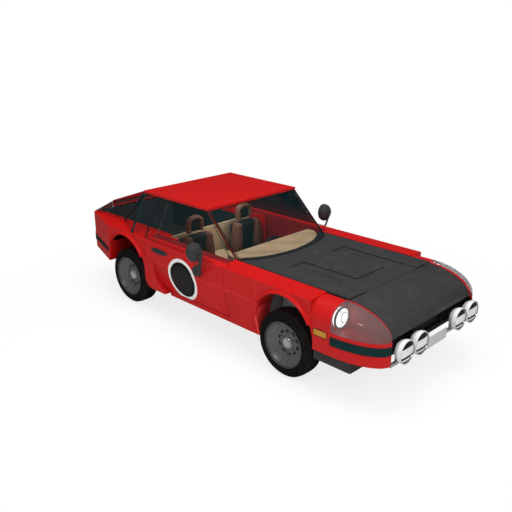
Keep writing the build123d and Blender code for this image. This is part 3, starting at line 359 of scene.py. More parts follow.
def red_enamel(name, seams=(), roundel=None, painted_shading=()):
    """Red enamel with painted highlight lines along its pressed seams, an optional plain roundel and
    optional zones of painted light or shade.
    """
    plain = {"Metallic": 0.0, "Specular_IOR_Level": 0.18, "Coat_Weight": 0.06, "Coat_Roughness": 0.15}
    material, tree, shader = new_material(name, **plain)
    colour = RED
    seam_highlights = []
    for (y0, z0), (y1, z1) in seams:
        ends = {"Start": (0.0, front_axle + y0, z0), "End": (0.0, front_axle + y1, z1)}
        seam_highlights.append(place_group(tree, seam_highlight, Half_width=0.0022, **ends)["Mask"])
    # painted highlight: each seam and the crease is drawn as a thin line of lighter red, as if its edge
    # caught the light
    if seam_highlights:
        colour = blend_colour(tree, maths(tree, "MAXIMUM", *seam_highlights, 0.0), RED, HIGHLIGHT_RED)
    x, y, z = split(tree, object_place(tree))
    x = maths(tree, "ABSOLUTE", x)
    if roundel is not None:
        centre_y, centre_z, radius = roundel
        dy = maths(tree, "SUBTRACT", y, front_axle + centre_y)
        away = distance(tree, dy, maths(tree, "SUBTRACT", z, centre_z))
        skin = maths(tree, "GREATER_THAN", x, door_skin_x)
        for share, tone in ROUNDEL:
            disc = times(tree, maths(tree, "LESS_THAN", away, radius * share), skin)
            colour = blend_colour(tree, disc, colour, tone)
    # painted light and shade: each zone recolours the enamel brighter or darker for how light falls there
    for limits, tone in painted_shading:
        inside = [
            maths(tree, operation, {"x": x, "y": y, "z": z}[axis], limit)
            for axis, ends in limits.items()
            for operation, limit in zip(("GREATER_THAN", "LESS_THAN"), ends)
            if limit is not None
        ]
        colour = blend_colour(tree, times(tree, *inside, 1.0), colour, tone)
    dust = place_group(tree, road_dust, Colour=colour, Amount=0.07, Top=0.50)
    skin = place_group(tree, enamel_skin, Colour=dust["Colour"], Roughness=0.36, Clouds=0.16)
    roughness = maths(tree, "ADD", skin["Roughness"], times(tree, dust["Mask"], 0.4))
    feed(tree, shader, Base_Color=skin["Colour"], Roughness=roughness, Normal=skin["Normal"])
    return material


def folded_edges(width, *names):
    """Rounds CAD nodes' folded edges, whose corners the frame brings in split."""
    for name in names:
        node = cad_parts[name]
        node.modifiers.new("joined_corners", "WELD").merge_threshold = 0.00002
        fold = node.modifiers.new("folded_edges", "BEVEL")
        fold.width = width
        fold.segments = 2
        fold.limit_method = "ANGLE"
        fold.angle_limit = radians(35)
        fold.use_clamp_overlap = True
        fold.harden_normals = False


# the seams and the crease below carry painted highlight lines
crease = [((-0.30, 0.61), (2.6, 0.61))]
fender_seams = [((0.335, 0.61), (0.335, 0.823)), ((0.557, 0.604), (0.531, 0.486))]
fender_seams += [((0.531, 0.486), (0.439, 0.323))] + crease
door_seams = [((0.967, 0.602), (0.944, 0.454)), ((0.944, 0.454), (0.85, 0.318))] + crease
# each entry is the range of x either side, y and z that it fills, and its colour. All are painted light or
# shade: the wing's rear arch wall is painted brighter red as if lit, and the door's inner faces, the arch
# tops, the roof's underside, the bumper's inside, the screen pillars, the wheelhouses' arches and the boot
# sides are painted dark as shade
arch_back_light = ({"x": (None, 0.81), "y": (-0.77, -0.73), "z": (None, 0.62)}, (0.95, 0.05, 0.05))
door_inner_shade = ({"x": (None, door_skin_x)}, (0.22, 0.012, 0.014))
arch_top_shade = ({"x": (None, 0.82), "y": (1.22, 1.56), "z": (0.645, 0.79)}, (0.002, 0.002, 0.002))
roof_underside_shade = ({"z": (None, 1.2315)}, (0.008, 0.030, 0.034))
bumper_inside_shade = ({"x": (None, 0.629), "y": (None, -1.60)}, (0.004, 0.010, 0.011))
screen_pillar_shade = ({"z": (None, 1.2290), "y": (None, 0.60)}, (0.085, 0.010, 0.010))
wheelhouse_roof_shade = ({"x": (0.5150, None), "z": (0.61, 0.7935)}, (0.008, 0.008, 0.009))
wheelhouse_side_shade = ({"x": (0.5132, 0.5150), "z": (None, 0.7935)}, (0.004, 0.016, 0.018))
boot_side_shade = ({"x": (None, 0.5132)}, (0.030, 0.035, 0.036))
finish_nodes(red_enamel("enamel_wings", fender_seams, painted_shading=(arch_back_light,)), "front_fenders")
enamel_doors = red_enamel("enamel_doors", door_seams, (1.37, 0.523, 0.222), (door_inner_shade,))
finish_nodes(enamel_doors, "door_left", "door_right")
finish_nodes(red_enamel("enamel_quarters", crease, painted_shading=(arch_top_shade,)), "rear_quarters")
plain_red = red_enamel("enamel_plain")
finish_nodes(plain_red, "sills", "tailgate")
finish_nodes(red_enamel("enamel_bumper", painted_shading=(bumper_inside_shade,)), "front_bumper")
finish_nodes(red_enamel("enamel_roof", painted_shading=(roof_underside_shade, screen_pillar_shade)), "roof")
inner_panels = red_enamel("enamel_inner_panels", painted_shading=(wheelhouse_roof_shade, wheelhouse_side_shade, boot_side_shade))
finish_nodes(inner_panels, "rear_wheelhouses")
folded_edges(0.0018, "front_fenders", "rear_quarters", "door_left", "door_right", "sills")
folded_edges(0.0018, "front_bumper", "roof", "tailgate")


# ---------------------------------------------------------------- bonnet, nose and tail panels
# The lid, the nose panel and the tail panel are pressed steel in satin charcoal paint,
# a little rubbed along the raised parts; the lid's two long slots let engine heat out.
def make_satin_coat():
    """Fine grit and faint rub marks of satin paint or moulded plastic."""
    group, inside, outside = new_group(
        "satin_coat",
        [
            ("Colour", "Color", (0.05, 0.05, 0.05, 1)),
            ("Roughness", "Float", 0.5),
            ("Grain", "Float", 400.0),
            ("Rub", "Float", 0.1),
        ],
        [("Colour", "Color"), ("Roughness", "Float"), ("Height", "Float")],
    )
    place = object_place(group)
    cells = new_node(group, "TexVoronoi", Vector=place, Scale=inside["Grain"]).outputs["Distance"]
    rubbed = remap(group, noise(group, place, 7.0, 6.0, 0.7), 0.5, 0.72)
    colour = blend_colour(group, times(group, rubbed, inside["Rub"]), inside["Colour"], (0.30, 0.30, 0.29))
    uneven = maths(group, "ADD", inside["Roughness"], patchy(group, place, 60.0, -0.05, 0.08))
    feed(group, outside, Colour=colour, Roughness=uneven, Height=cells)
    return group


satin_coat = make_satin_coat()


def satin_material(name, colour, roughness, grain=420.0, rub=0.08, depth=0.0004, dust_amount=0.15, **plain):
    """Satin paint or moulded plastic in one colour."""
    material, tree, shader = new_material(name, **plain)
    coat = place_group(tree, satin_coat, Colour=colour, Roughness=roughness, Grain=grain, Rub=rub)
    dust = place_group(tree, road_dust, Colour=coat["Colour"], Amount=dust_amount, Top=0.6)
    grit = bumped(tree, coat["Height"], depth, 0.5)
    feed(tree, shader, Base_Color=dust["Colour"], Roughness=coat["Roughness"], Normal=grit)
    return material


charcoal, tree, shader = new_material("charcoal_satin", Specular_IOR_Level=0.3)
x, y, z = split(tree, object_place(tree))
# painted shade: a dark teal band darkens the lid, nose and tail panels towards their outer edges at |x|
# 0.621, above z 0.60
edge = remap(tree, maths(tree, "ABSOLUTE", x), 0.588, 0.621)
edge_shade = times(tree, edge, edge, maths(tree, "GREATER_THAN", z, 0.60))
tone = blend_colour(tree, times(tree, edge_shade, 0.85), (0.039, 0.039, 0.040), (0.002, 0.018, 0.021))
coat = place_group(tree, satin_coat, Colour=tone, Roughness=0.5, Grain=420.0, Rub=0.05)
grit = bumped(tree, coat["Height"], 0.0004, 0.5)
feed(tree, shader, Base_Color=coat["Colour"], Roughness=coat["Roughness"], Normal=grit)
finish_nodes(charcoal, "bonnet", "nose_panel", "tail_panel")
folded_edges(0.0016, "bonnet", "nose_panel", "tail_panel")


# ---------------------------------------------------------------- plastic and rubber trim
# The grille, air dams and lamp bar mounts are grained black plastic, and the strips round nose
# and tail are moulded rubber with a dull teal-black bloom; the plates are blank painted sheet.
dark_plastic = satin_material("grained_plastic", (0.028, 0.030, 0.031), 0.55, 600.0, 0.04)
finish_nodes(dark_plastic, "air_dam")
grille_black = satin_material("grille_black", (0.006, 0.006, 0.006), 0.55, 600.0, 0.02)
finish_nodes(grille_black, "grille")
bloom = {"dust_amount": 0.04, "Specular_IOR_Level": 0.15}
rubber = satin_material("bumper_rubber", (0.003, 0.028, 0.028), 0.6, 900.0, 0.01, 0.0003, **bloom)
finish_nodes(rubber, "bumper_strips", "rear_bumper")
handle_skin = satin_material("handle_enamel", (0.014, 0.034, 0.036), 0.35, 900.0, 0.05, 0.0002)
finish_nodes(handle_skin, "door_handle_left", "door_handle_right")
blank_sheet = satin_material("blank_plate", (0.52, 0.52, 0.53), 0.4, 300.0, 0.03, Metallic=0.0)
finish_nodes(blank_sheet, "number_plates")


# ---------------------------------------------------------------- glass
# The windscreen, the side panes and the tail pane are 6 mm safety glass with a grey-green tint;
# a black moulded rubber strip holds each edge, and thin dark strips divide the side panes.
def clear_pane(name, tint, alpha, roughness=0.03, shade_film_tone=None, shade_film_alpha=0.0):
    """Tinted see-through sheet, dusty outside, with optional painted shade: a near-black teal coat seen only
    from the cabin side, turning dark red towards the tail.
    """
    material, tree, shader = new_material(name, Metallic=0.0, Transmission_Weight=0.0, IOR=1.5)
    place = object_place(tree)
    dust = remap(tree, noise(tree, place, 4.0, 5.0, 0.7), 0.45, 0.75, 0.0, 0.012)
    cover = maths(tree, "ADD", dust, alpha)
    tone = blend_colour(tree, dust, tint, (0.6, 0.58, 0.52))
    # painted shade: seen from the cabin side the pane turns near-opaque dark teal, so far panes seen through
    # the near ones look shaded; towards the tail the tone turns dark red
    if shade_film_tone is not None:
        cabin_middle = (0.0, 0.5, 0.8)
        outward = vector_maths(tree, "SUBTRACT", place, cabin_middle)
        normal = new_node(tree, "TexCoord").outputs["Normal"]
        inner = maths(tree, "LESS_THAN", vector_maths(tree, "DOT_PRODUCT", outward, normal), 0.0)
        lit = maths(tree, "SUBTRACT", 1.0, new_node(tree, "LightPath").outputs["Is Shadow Ray"])
        seen = times(tree, inner, lit)
        cover = maths(tree, "ADD", cover, times(tree, seen, shade_film_alpha))
        aft = remap(tree, split(tree, place)[1], 1.60, 1.95)
        shade_sheet_tone = blend_colour(tree, aft, shade_film_tone, (0.125, 0.035, 0.038))
        tone = blend_colour(tree, seen, tone, shade_sheet_tone)
    haze = maths(tree, "ADD", times(tree, dust, 12.0), roughness)
    feed(tree, shader, Alpha=cover, Base_Color=tone, Roughness=haze)
    material.surface_render_method = "BLENDED"
    return material


# painted shade on the cabin side of every pane
painted_shade_film = {"shade_film_tone": (0.001, 0.011, 0.014), "shade_film_alpha": 0.90}
tinted = clear_pane("tinted_glass", (0.01, 0.09, 0.10), 0.04, **painted_shade_film)
finish_nodes(tinted, "windscreen", "side_windows", "tailgate_glass", "door_glass_left", "door_glass_right")


def new_piece(name, mesh, material, body, smooth=True, angle=40):
    """Turns a bmesh into a finished piece that rides on a body."""
    bmesh.ops.recalc_face_normals(mesh, faces=mesh.faces[:])
    data = bpy.data.meshes.new(name)
    mesh.to_mesh(data)
    mesh.free()
    piece = bpy.data.objects.new(name, data)
    bpy.context.scene.collection.objects.link(piece)
    for finish in material if isinstance(material, tuple) else (material,):
        data.materials.append(finish)
    if smooth:
        data.shade_smooth()
        data.set_sharp_from_angle(angle=radians(angle))
    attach(piece, body)
    return piece


def rod(mesh, points, width, height, up=(0, 0, 1), closed=False):
    """Adds a strip of rectangular section with eased corners along a chain of points."""
    ease = min(width, height) * 0.3
    w, h = width / 2, height / 2
    outline = [(w - ease, h), (w, h - ease), (w, -h + ease), (w - ease, -h)]
    outline += [(-w + ease, -h), (-w, -h + ease), (-w, h - ease), (-w + ease, h)]
    points = [Vector(p) for p in points]
    rings = []
    count = len(points)
    for i, p in enumerate(points):
        before = points[i - 1] if i or closed else p
        after = points[(i + 1) % count] if i + 1 < count or closed else p
        along = (after - before).normalized()
        side = along.cross(Vector(up)).normalized()
        top = side.cross(along).normalized()
        rings.append([mesh.verts.new(p + side * a + top * b) for a, b in outline])
    for i in range(count if closed else count - 1):
        a, b = rings[i], rings[(i + 1) % count]
        for k in range(8):
            mesh.faces.new((a[k], a[(k + 1) % 8], b[(k + 1) % 8], b[k]))
    if not closed:
        mesh.faces.new(rings[0])
        mesh.faces.new(rings[-1][::-1])


def strips(name, runs, material, body, slot):
    """A piece made of rods: each run is its points, width and height, and may add up and closed."""
    mesh = bmesh.new()
    for run in runs:
        rod(mesh, *run)
    return new_piece(name, mesh, material, body)


def both_sides(points, side):
    """The same points on the left, side 1, or the right, side -1."""
    return [(side * x, y, z) for x, y, z in points]


def side_glass_point(y, share, out=0.004):
    """A point just outside the leaning side glass: share 0 at its foot and 1 at its head."""
    foot_x, head_x, foot_z, head_z = 0.822, 0.622, 0.8275, 1.224
    x = foot_x + (head_x - foot_x) * share + out
    return (x, front_axle + y, foot_z + (head_z - foot_z) * share + out * 0.5)


SIDES = ((1, "left"), (-1, "right"))
strip_black = satin_material("divider_black", (0.030, 0.036, 0.037), 0.45, 500.0, 0.1)
seal_rubber = satin_material("window_rubber", (0.010, 0.014, 0.015), 0.6, 900.0, 0.02)
for side, word in SIDES:
    leaning = (side, 0, 0.5)
    divider = [side_glass_point(1.79, 0.02), side_glass_point(1.79, 0.975)]
    runs = [(both_sides(divider, side), 0.010, 0.006, leaning)]
    strips("pane_divider_door_" + word, runs, strip_black, word + "_door", "steel")
    foot = [side_glass_point(0.90, 0.008), side_glass_point(1.94, 0.008)]
    top = [side_glass_point(1.20, 0.985), side_glass_point(1.92, 0.985)]
    runs = [(both_sides(run, side), 0.006, 0.005, leaning) for run in (foot, top)]
    strips("window_seal_door_" + word, runs, seal_rubber, word + "_door", "bumper_rubber")
    runs = []
    for low_y, high_y, width in ((1.9665, 1.9505, 0.012), (1.9722, 1.9628, 0.010)):
        post = [side_glass_point(low_y, 0.01, -0.001), side_glass_point(high_y, 0.985, -0.001)]
        runs.append((both_sides(post, side), width, 0.006, leaning))
    strips("post_seal_" + word, runs, seal_rubber, "root", "bumper_rubber")


# ---------------------------------------------------------------- headlamps and their covers
# Each round headlamp is a silvered bowl in a bright ring with a ribbed glass lens, set in the
# flat face of the wing, and a clear moulded acrylic cover carries the wing's shape over it.
cover_acrylic = clear_pane("cover_acrylic", (0.15, 0.15, 0.15), 0.36, 0.10)
finish_nodes(cover_acrylic, "headlamp_covers")


def lathe(mesh, profile, turns, at, axis="y", shade=0):
    """Spins a profile of (radius, distance) about an axis through a point."""
    rings = []
    for radius, distance in profile:
        ring = []
        for i in range(turns):
            a = 2 * pi * i / turns
            u, v = radius * cos(a), radius * sin(a)
            offset = (u, distance, v) if axis == "y" else (distance, u, v)
            ring.append(mesh.verts.new(Vector(at) + Vector(offset)))
        rings.append(ring)
    for a, b in zip(rings, rings[1:]):
        for i in range(turns):
            k = (i + 1) % turns
            mesh.faces.new((a[i], a[k], b[k], b[i])).material_index = shade


def spun(name, profile, turns, at, material, body, slot, axis="y", merge=0.0001, angle=40):
    """A piece made by spinning one profile, its doubled points merged."""
    mesh = bmesh.new()
    lathe(mesh, profile, turns, at, axis)
    if merge:
        bmesh.ops.remove_doubles(mesh, verts=mesh.verts[:], dist=merge)
    return new_piece(name, mesh, material, body, angle=angle)


def silvered(name, colour=(0.86, 0.87, 0.88), roughness=0.12, metallic=1.0):
    """Vacuum-silvered, chromed or silver-painted metal with fine hairline scratches."""
    material, tree, shader = new_material(name, Metallic=metallic)
    place = object_place(tree)
    haze = patchy(tree, place, 30.0, roughness * 0.6, roughness * 1.8, 4.0)
    tone = blend_colour(tree, noise(tree, place, 12.0), colour, tuple(c * 0.85 for c in colour))
    scratches = bumped(tree, noise(tree, place, 300.0, 2.0), 0.0003, 0.15)
    feed(tree, shader, Roughness=haze, Base_Color=tone, Normal=scratches)
    return material


def waves(tree, place, scale, direction="X", **plain):
    """Parallel ribs or streaks across one direction."""
    node = new_node(tree, "TexWave", Vector=place, Scale=scale, **plain)
    node.bands_direction = direction
    return node.outputs["Fac"]


chrome = silvered("chrome")
lamp_low, lamp_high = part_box("headlamps")
lamp_x = lamp_high.x - 0.086
lamp_z = (lamp_low.z + lamp_high.z) / 2
rim_radius, line_width, spoke_turn = 0.043, 0.0035, 1.5
# painted light: the lens glows white (emission up to 2.6) outside its grey rim and spokes, standing in for
# light falling on it
painted_glow = {"Coat_Weight": 0.3, "Emission_Color": (1, 1, 1), "Emission_Strength": 0.0}
white_glass, tree, shader = new_material("lens_glass", Metallic=0.0, **painted_glow)
place = object_place(tree)
x, y, z = split(tree, place)
ribs = waves(tree, place, 40.0)
tone = blend_colour(tree, times(tree, ribs, 0.35), (0.88, 0.89, 0.90), (0.60, 0.64, 0.66))
aside = maths(tree, "SUBTRACT", maths(tree, "ABSOLUTE", x), lamp_x - 0.012)
upward = maths(tree, "SUBTRACT", z, lamp_z + 0.006)
away = distance(tree, aside, upward)
off_rim = maths(tree, "ABSOLUTE", maths(tree, "SUBTRACT", away, rim_radius))
rim = maths(tree, "LESS_THAN", off_rim, line_width)
angle = maths(tree, "ADD", maths(tree, "ARCTAN2", aside, upward), spoke_turn)
off_spoke = times(tree, maths(tree, "PINGPONG", angle, pi / 3), away)
outside_rim = maths(tree, "GREATER_THAN", away, rim_radius)
spokes = times(tree, maths(tree, "LESS_THAN", off_spoke, line_width), outside_rim)
grey = maths(tree, "MAXIMUM", rim, spokes)
feed(
    tree,
    shader,
    Base_Color=blend_colour(tree, grey, tone, (0.16, 0.19, 0.19)),
    Emission_Strength=times(tree, maths(tree, "SUBTRACT", 1.0, grey), 2.6),
    Roughness=patchy(tree, place, 60.0, 0.08, 0.2),
    Normal=bumped(tree, ribs, 0.002, 0.8),
)
finish_nodes(white_glass, "headlamps")
ring_grey = satin_material("ring_grey", (0.12, 0.17, 0.17), 0.3, 500.0, 0.05, Metallic=0.6)
ring_profile = [(0.0800, 0.004), (0.0808, -0.0075), (0.0835, -0.0095), (0.0905, -0.0070)]
ring_profile += [(0.0945, -0.001), (0.0950, 0.006), (0.0800, 0.004)]
for side, word in SIDES:
    at = (side * lamp_x, lamp_high.y - 0.024, lamp_z)
    spun("headlamp_ring_" + word, ring_profile, 64, at, ring_grey, "root", "white_lamp", merge=0)


# ---------------------------------------------------------------- auxiliary lamps
# Four driving lamps are spun steel bowls in gloss white enamel bolted to a bright bar; each glass is painted
# white across the middle, and the clear glass above and below it is painted near-black as shade, with a pale
# sliver of painted reflection low in the lower band.
bar_paint = satin_material("lamp_bar_grey", (0.36, 0.40, 0.40), 0.45, rub=0.1, Metallic=0.1)
gloss = {"dust_amount": 0.05, "Coat_Weight": 0.4}
white_enamel = satin_material("white_enamel", (0.78, 0.78, 0.77), 0.25, 700.0, 0.0, 0.0001, **gloss)
finish_nodes(bar_paint, "auxiliary_lamps")
glazed = {"Specular_IOR_Level": 0.25, "Coat_Weight": 0.1, "Coat_Roughness": 0.05}
lens_band, tree, shader = new_material("driving_lens", Metallic=0.0, **glazed)
place = object_place(tree)
aux_centre_z = 0.518
rise = maths(tree, "SUBTRACT", split(tree, place)[2], aux_centre_z)
upper = maths(tree, "GREATER_THAN", rise, 0.036)
lower = maths(tree, "LESS_THAN", rise, -0.036)
sliver = times(tree, maths(tree, "LESS_THAN", rise, -0.058), maths(tree, "GREATER_THAN", rise, -0.074))
# painted shade and reflection: the clear bands are near-black, and the pale sliver low in the lower band is
# a painted reflection
dark = maths(tree, "SUBTRACT", maths(tree, "MAXIMUM", upper, lower), sliver)
ribs = waves(tree, place, 26.0)
pale = blend_colour(tree, times(tree, ribs, 0.2), (0.80, 0.80, 0.80), (0.62, 0.64, 0.66))
banded = blend_colour(tree, dark, pale, (0.004, 0.004, 0.005))
roughness = patchy(tree, place, 60.0, 0.06, 0.16)
feed(tree, shader, Base_Color=banded, Roughness=roughness, Normal=bumped(tree, ribs, 0.0015, 0.5))
aux_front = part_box("auxiliary_lamps")[0].y
bowl = [(0.0, 0.0935), (0.02, 0.0933), (0.042, 0.0918), (0.066, 0.082), (0.086, 0.062)]
bowl += [(0.0975, 0.038), (0.1012, 0.024), (0.1012, 0.010), (0.1016, 0.004), (0.100, 0.0006)]
bowl += [(0.0965, 0.0002), (0.0932, 0.002), (0.0925, 0.012), (0.0, 0.0135)]
glass = []
for t in range(9):
    depth = 0.0115 - 0.0095 * cos(t * pi / 16) ** 0.8 if t < 8 else 0.0115
    glass.append((0.0925 * sin(t * pi / 16), depth))
glass.append((0.0, 0.0130))
bezel = [(0.0905, 0.0045), (0.0915, 0.0006), (0.0955, -0.0012 + 0.0014), (0.0995, 0.0012), (0.1014, 0.006)]
for number, lamp_middle in enumerate((-0.527, -0.312, 0.312, 0.527)):
    at = (lamp_middle, aux_front, aux_centre_z)
    fixed = ("root", "white_lamp")
    spun(f"driving_lamp_bowl_{number}", bowl, 72, at, white_enamel, *fixed, angle=50)
    spun(f"driving_lamp_glass_{number}", glass, 72, at, lens_band, *fixed, angle=60)
    spun(f"driving_lamp_rim_{number}", bezel, 72, at, chrome, *fixed, merge=0)


# ---------------------------------------------------------------- side marker and tail lamp acrylic
# The side marker is an amber lens with moulded ribs in a thin black gasket, and the tail lamps are
# ribbed red lenses; each is one piece of moulded acrylic held by two screws from behind.
def ribbed_lens(name, colour, scale, direction):
    """Moulded coloured acrylic with fine ribs."""
    material, tree, shader = new_material(name, Metallic=0.0, Coat_Weight=0.5, Coat_Roughness=0.06)
    place = object_place(tree)
    ribs = waves(tree, place, scale, direction)
    tone = blend_colour(tree, ribs, tuple(c * 0.55 for c in colour), colour)
    roughness = patchy(tree, place, 50.0, 0.12, 0.25)
    feed(tree, shader, Base_Color=tone, Roughness=roughness, Normal=bumped(tree, ribs, 0.002, 0.8))
    return material


amber = ribbed_lens("amber_lens", (0.80, 0.42, 0.06), 38.0, "Z")
red_lens = ribbed_lens("red_lens", (0.40, 0.006, 0.006), 30.0, "X")
finish_nodes(red_lens, "tail_lamps")


# ---------------------------------------------------------------- tyres
# Radial tyres in carbon-black rubber: a rounded crown with four straight grooves and notched
# shoulders, plain side walls with a raised kerb ring, and a faint brown bloom of road dirt.
tyre_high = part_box("tyre_front_left")[1]
outer_face = tyre_high.x
hub_z = tyre_high.z / 2
tyre_rubber, tree, shader = new_material("tyre_rubber", Metallic=0.0, Specular_IOR_Level=0.35)
place = object_place(tree)
clouds = remap(tree, noise(tree, place, 14.0, 5.0, 0.65), 0.35, 0.7)
x = maths(tree, "ABSOLUTE", split(tree, place)[0])
feed(
    tree,
    shader,
    Base_Color=blend_colour(tree, clouds, (0.0055, 0.0055, 0.006), (0.013, 0.012, 0.011)),
    Roughness=patchy(tree, place, 45.0, 0.55, 0.85),
    Normal=bumped(tree, noise(tree, place, 700.0, 2.0), 0.0006, 0.5),
    Specular_IOR_Level=remap(tree, x, outer_face - 0.024, outer_face - 0.016, 0.35, 0.03),
)
wheels = [("front_left", 1, front_axle), ("front_right", -1, front_axle)]
wheels += [("rear_left", 1, rear_axle), ("rear_right", -1, rear_axle)]
tyre_width = 0.2
tyre_radius = hub_z
sidewall = [(0.2125, 0.016), (0.216, 0.009), (0.224, 0.0052), (0.236, 0.0025), (0.247, 0.0012)]
sidewall += [(0.252, 0.0028), (0.256, 0.0028), (0.262, 0.0006), (0.2720, 0.0042)]
sidewall += [(0.2810, 0.0100), (0.2890, 0.0180), (0.2950, 0.0265)]
crown = []
grooves = (0.054, 0.082, 0.118, 0.146)
groove_depth, notch_depth, sipe_depth = 0.0065, 0.0040, 0.0022
steps = 44
for i in range(steps + 1):
    w = 0.032 + (tyre_width - 0.064) * i / steps
    bulge = tyre_radius - 0.0165 * (abs(w - tyre_width / 2) / (tyre_width / 2)) ** 3.2 - 0.0004
    in_groove = min(abs(w - g) for g in grooves) < 0.0036
    crown.append((bulge - (groove_depth if in_groove else 0.0), w))
profile = sidewall + crown + [(r, tyre_width - w) for r, w in sidewall[::-1]]
around = 240
for name, side, axle in wheels:
    mesh = bmesh.new()
    rings = []
    for r, w in profile:
        ring = []
        shoulder = min(w, tyre_width - w)
        tread = r > 0.300 and 0.062 < w < 0.138
        for i in range(around):
            notch = notch_depth if 0.034 < shoulder < 0.049 and i % 6 == 0 else 0.0
            sipe = sipe_depth if tread and (i + int(w * 400)) % 8 == 0 else 0.0
            a = 2 * pi * i / around
            reach = r - notch - sipe
            spot = (side * (outer_face - w), axle + reach * cos(a), hub_z + reach * sin(a))
            ring.append(mesh.verts.new(spot))
        rings.append(ring)
    for a, b in zip(rings, rings[1:] + rings[:1]):
        for i in range(around):
            k = (i + 1) % around
            mesh.faces.new((a[i], a[k], b[k], b[i]))
    piece = new_piece("tyre_" + name + "_tread", mesh, tyre_rubber, name + "_wheel", angle=28)
    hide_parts("tyre_" + name)


# ---------------------------------------------------------------- wheels
# Pressed steel wheels with a deep dish: a rolled outer lip, a satin grey well, and a centre disc with
# ten cooling slots, a raised ring, six bright nuts and a domed chromed cap, over a black brake drum.
wheel_metal = silvered("wheel_metal", (0.22, 0.22, 0.225), 0.30, 0.55)
lip_metal = silvered("rolled_lip", (0.10, 0.10, 0.10), 0.34, 0.5)
cap_metal = silvered("cap_metal", (0.62, 0.62, 0.62), 0.16, 0.5)
slot_black = satin_material("slot_black", (0.006, 0.006, 0.007), 0.7)
# every profile is (radius, depth behind the tyre's outer face)
rolled_lip = [(0.2135, 0.0100), (0.2150, 0.0062), (0.2135, 0.0034), (0.2100, 0.0032), (0.2065, 0.0060)]
rolled_lip += [(0.2040, 0.0120), (0.2010, 0.0160)]
well = [rolled_lip[-1], (0.1970, 0.0215), (0.1900, 0.0300), (0.1800, 0.0400), (0.1650, 0.0520)]
well += [(0.1500, 0.0620), (0.1350, 0.0705), (0.1250, 0.0760), (0.1200, 0.0790), (0.1180, 0.0800)]
centre = [(0.0980, 0.0800), (0.0965, 0.0780), (0.0935, 0.0760), (0.0900, 0.0750), (0.0660, 0.0735)]
centre += [(0.0630, 0.0725), (0.0610, 0.0690), (0.0590, 0.0680), (0.0560, 0.0690), (0.0540, 0.0760)]
centre += [(0.0520, 0.0785), (0.0500, 0.0780)]
back = [(0.1180, 0.0850), (0.1350, 0.0780), (0.1500, 0.0710), (0.1650, 0.0640), (0.1800, 0.0570)]
back += [(0.1920, 0.0560), (0.1955, 0.0700), (0.1980, 0.1100), (0.2000, 0.1500), (0.2040, 0.1800)]
back += [(0.2105, 0.1880), (0.2135, 0.1860), (0.2110, 0.1700), (0.2085, 0.1000), (0.2085, 0.0300)]
back += [(0.2120, 0.0180), (0.2135, 0.0100)]
centre_back = [(0.0980, 0.0850), (0.0500, 0.0850), (0.0500, 0.0780)]
slot_band = {"outer": (0.1180, 0.0800), "inner": (0.0980, 0.0800)}
slot_band.update({"outer_back": (0.1180, 0.0850), "inner_back": (0.0980, 0.0850)})
cap_dome = [(0.0535, 0.0785), (0.0530, 0.0700), (0.0505, 0.0620), (0.0450, 0.0550), (0.0350, 0.0495)]
cap_dome += [(0.0220, 0.0465), (0.0090, 0.0455), (0.0, 0.0454)]
drum_cheek = [(0.062, 0.0925), (0.062, 0.0875), (0.128, 0.0875), (0.132, 0.0890), (0.132, 0.0925)]
drum_cheek += [(0.062, 0.0925)]
hexagon = [(0.0090, 0.0745), (0.0090, 0.0650), (0.0078, 0.0625), (0.0048, 0.0615)]
stud = [(0.0048, 0.0615), (0.0045, 0.0575), (0.0025, 0.0560), (0.0, 0.0559)]
slots, nut_count, nut_circle = 10, 6, 0.0785
around = 120
span = around // slots
bridge = 4


def inward(side, profile):
    """A profile of depths turned to face the given side."""
    return [(r, -side * w) for r, w in profile]


for name, side, axle in wheels:
    body = name + "_wheel"
    at = (side * outer_face, axle, hub_z)
    mesh = bmesh.new()
    lathe(mesh, inward(side, rolled_lip), around, at, "x", shade=1)
    lathe(mesh, inward(side, well), around, at, "x")
    grid = {}
    for key, (r, w) in slot_band.items():
        for i in range(around):
            a = 2 * pi * i / around
            grid[key, i] = mesh.verts.new(Vector(at) + Vector((-side * w, r * cos(a), r * sin(a))))
    for i in range(around):
        k = (i + 1) % around
        if i % span < span - bridge:
            for ring in ("outer", "inner"):
                back_ring = ring + "_back"
                mesh.faces.new((grid[ring, i], grid[ring, k], grid[back_ring, k], grid[back_ring, i]))
            for here, n in ((i % span == 0, i), (i % span == span - bridge - 1, k)):
                if here:
                    corners = ("outer", "inner", "inner_back", "outer_back")
                    mesh.faces.new([grid[corner, n] for corner in corners])
        else:
            for end in ("", "_back"):
                outer, inner = "outer" + end, "inner" + end
                mesh.faces.new((grid[outer, i], grid[outer, k], grid[inner, k], grid[inner, i]))
    for profile in (centre, back, centre_back):
        lathe(mesh, inward(side, profile), around, at, "x")
    bmesh.ops.remove_doubles(mesh, verts=mesh.verts[:], dist=0.00005)
    finishes = (wheel_metal, lip_metal)
    piece = new_piece("wheel_" + name, mesh, finishes, body, angle=32)
    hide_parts("rim_" + name)
    spun("hub_cap_" + name, inward(side, cap_dome), 64, at, cap_metal, body, "wheel_steel", "x")
    spun("brake_drum_face_" + name, inward(side, drum_cheek), 96, at, slot_black, body, "steel", "x")
    nuts = bmesh.new()
    for n in range(nut_count):
        a = 2 * pi * (n + 0.5) / nut_count
        nut_middle = Vector(at) + Vector((0, nut_circle * cos(a), nut_circle * sin(a)))
        lathe(nuts, inward(side, hexagon), 6, nut_middle, "x")
        lathe(nuts, inward(side, stud), 16, nut_middle, "x")
    new_piece("wheel_nuts_" + name, nuts, chrome, body)


